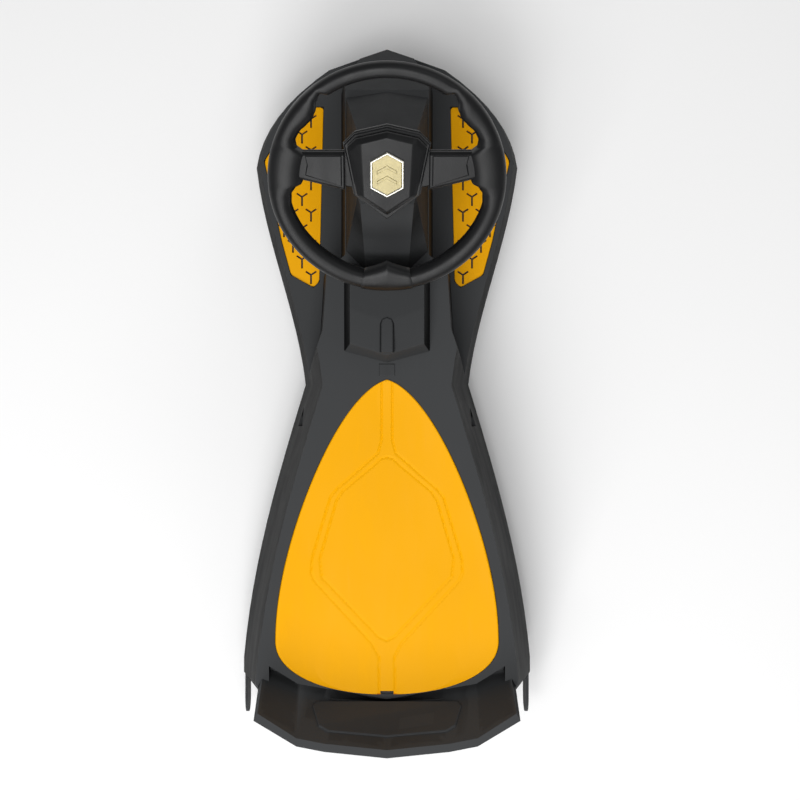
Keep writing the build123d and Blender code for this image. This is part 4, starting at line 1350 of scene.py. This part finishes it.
def build_screws():
    """Every screw, with its head where the CAD solid has it."""
    for node, body, length, tilt in (
        ("shell_screws", "body", 20.0, 0.0),
        ("tower_screws", "body", 15.0, 0.0),
        ("backrest_screws", "body", 15.0, 0.0),
        ("wheel_screws", "steering", 12.0, -WHEEL_TILT),
    ):
        head_z = SCREW_HEAD - (length + SCREW_HEAD) / 2
        original = linked("screw", screw_mesh(head_z, length))
        cloud = bmesh.new()
        for middle in solid_middles(node):
            cloud.verts.new(middle * MM)
        values = {"Original": original, "Random turn": 1.5, "Seed": 7, "Tilt": tilt}
        values["Finish"] = finish_for("steel")
        mesh = grown(to_mesh(cloud, "cloud"), at_points_group, values)
        smooth(mesh, 30.0)
        declared(linked(node.replace("_screws", "_fixings"), mesh), body, [node])
        bpy.data.objects.remove(original)


# ---- what is carried over from the CAD frame ----
def build_running_gear():
    """Gives the CAD nodes that stay in sight their finishes."""
    slots = {part["node"]: part["material_slot"] for part in frame["record"]["subparts"]}
    for node, obj in frame["nodes"].items():
        if obj.hide_render:
            continue
        obj.data.materials.clear()
        obj.data.materials.append(finish_for(slots[node]))


# ---- stage ----
def build_stage():
    """A pale floor, soft lights and a camera straight above the car."""
    bm = bmesh.new()
    bmesh.ops.create_grid(bm, x_segments=2, y_segments=2, size=6.0)
    floor = linked("studio_floor", to_mesh(bm, "studio_floor"))
    floor.data.materials.append(floor_paint())
    scene = bpy.context.scene
    scene.view_settings.view_transform = "Standard"
    world = bpy.data.worlds.new("studio_air")
    world.use_nodes = True
    world.node_tree.nodes["Background"].inputs["Color"].default_value = (1, 1, 1, 1)
    world.node_tree.nodes["Background"].inputs["Strength"].default_value = 0.26
    scene.world = world
    for name, place, size, power in (
        ("softbox_over", (0.3, 0.75, 2.9), 1.6, 52.0),
        ("softbox_rear", (0.5, 2.3, 2.1), 1.3, 34.0),
        ("softbox_front", (-1.5, -2.0, 2.4), 1.4, 7.0),
    ):
        light = bpy.data.lights.new(name, "AREA")
        light.size = size
        light.energy = power
        lamp = bpy.data.objects.new(name, light)
        lamp.location = place
        aim = Vector((0, 0, 0.1)) - Vector(place)
        lamp.rotation_euler = aim.to_track_quat("-Z", "Y").to_euler()
        scene.collection.objects.link(lamp)
    camera = bpy.data.cameras.new("overhead_camera")
    camera.lens = 68.9
    camera.sensor_width = 36.0
    camera.shift_x, camera.shift_y = 0.01625, 0.005
    overhead = bpy.data.objects.new("overhead_camera", camera)
    overhead.location = (0.0, 0.0225, 1.95)
    overhead.rotation_euler = (0.0, 0.0, pi)
    scene.collection.objects.link(overhead)
    scene.camera = overhead


# ---- operators ----
class BuildStep:
    """What the operators share: each runs its builders in order"""

    def execute(self, context):
        for build in self.builders:
            build()
        return {"FINISHED"}


class SWINGCAR_OT_stage(BuildStep, bpy.types.Operator):
    """Make the floor, the lights and the camera"""

    bl_idname = "swingcar.stage"
    bl_label = "Stage"
    builders = (build_stage,)


class SWINGCAR_OT_shells(BuildStep, bpy.types.Operator):
    """Make the upper and the lower body shell"""

    bl_idname = "swingcar.shells"
    bl_label = "Body shells"
    builders = (build_upper_shell, build_lower_shell)


class SWINGCAR_OT_seat(BuildStep, bpy.types.Operator):
    """Make the dished seat panel"""

    bl_idname = "swingcar.seat"
    bl_label = "Seat"
    builders = (build_seat,)


class SWINGCAR_OT_mats(BuildStep, bpy.types.Operator):
    """Make the two foot mats"""

    bl_idname = "swingcar.mats"
    bl_label = "Foot mats"
    builders = (build_foot_mats,)


class SWINGCAR_OT_backrest(BuildStep, bpy.types.Operator):
    """Make the backrest and its raised panel"""

    bl_idname = "swingcar.backrest"
    bl_label = "Backrest"
    builders = (build_backrest,)


class SWINGCAR_OT_tower(BuildStep, bpy.types.Operator):
    """Make the steering tower and the neck's cover"""

    bl_idname = "swingcar.tower"
    bl_label = "Tower and cover"
    builders = (build_tower, build_cover)


class SWINGCAR_OT_wheel(BuildStep, bpy.types.Operator):
    """Make the steering wheel's shells and trims"""

    bl_idname = "swingcar.wheel"
    bl_label = "Steering wheel"
    builders = (build_wheel_shells, build_wheel_trims)


class SWINGCAR_OT_horn(BuildStep, bpy.types.Operator):
    """Make the hub, the horn pad and the badge"""

    bl_idname = "swingcar.horn"
    bl_label = "Hub and horn"
    builders = (build_hub, build_horn_pad, build_badge)


class SWINGCAR_OT_tyres(BuildStep, bpy.types.Operator):
    """Make the four tyres and the rear hub caps"""

    bl_idname = "swingcar.tyres"
    bl_label = "Road wheels"
    builders = (build_tyres, build_hub_caps)


class SWINGCAR_OT_screws(BuildStep, bpy.types.Operator):
    """Make all the screws"""

    bl_idname = "swingcar.screws"
    bl_label = "Screws"
    builders = (build_screws,)


class SWINGCAR_OT_gear(BuildStep, bpy.types.Operator):
    """Finish the shaft, the yoke, the axles, the bushes and the rims"""

    bl_idname = "swingcar.gear"
    bl_label = "Running gear"
    builders = (build_running_gear,)


OPERATORS = (
    SWINGCAR_OT_stage,
    SWINGCAR_OT_shells,
    SWINGCAR_OT_seat,
    SWINGCAR_OT_mats,
    SWINGCAR_OT_backrest,
    SWINGCAR_OT_tower,
    SWINGCAR_OT_wheel,
    SWINGCAR_OT_horn,
    SWINGCAR_OT_tyres,
    SWINGCAR_OT_screws,
    SWINGCAR_OT_gear,
)


class SWINGCAR_PT_panel(bpy.types.Panel):
    """Sizes, colours and the steps that build the car"""

    bl_idname = "SWINGCAR_PT_panel"
    bl_label = "Swing car"
    bl_space_type = "VIEW_3D"
    bl_region_type = "UI"
    bl_category = "Swing car"

    def draw(self, context):
        for group in (context.scene.swing_car_shape, context.scene.swing_car_colours):
            for name in group.bl_rna.properties.keys():
                if name not in ("rna_type", "name"):
                    self.layout.prop(group, name)
        for operator in OPERATORS:
            self.layout.operator(operator.bl_idname)


CLASSES = (SwingCarShape, SwingCarColours, *OPERATORS, SWINGCAR_PT_panel)


def register():
    for made in CLASSES:
        bpy.utils.register_class(made)
    bpy.types.Scene.swing_car_shape = bpy.props.PointerProperty(type=SwingCarShape)
    bpy.types.Scene.swing_car_colours = bpy.props.PointerProperty(type=SwingCarColours)


def unregister():
    del bpy.types.Scene.swing_car_colours
    del bpy.types.Scene.swing_car_shape
    for made in reversed(CLASSES):
        bpy.utils.unregister_class(made)


def main():
    register()
    for operator in OPERATORS:
        group, name = operator.bl_idname.split(".")
        getattr(getattr(bpy.ops, group), name)()


if __name__ == "__main__":
    main()
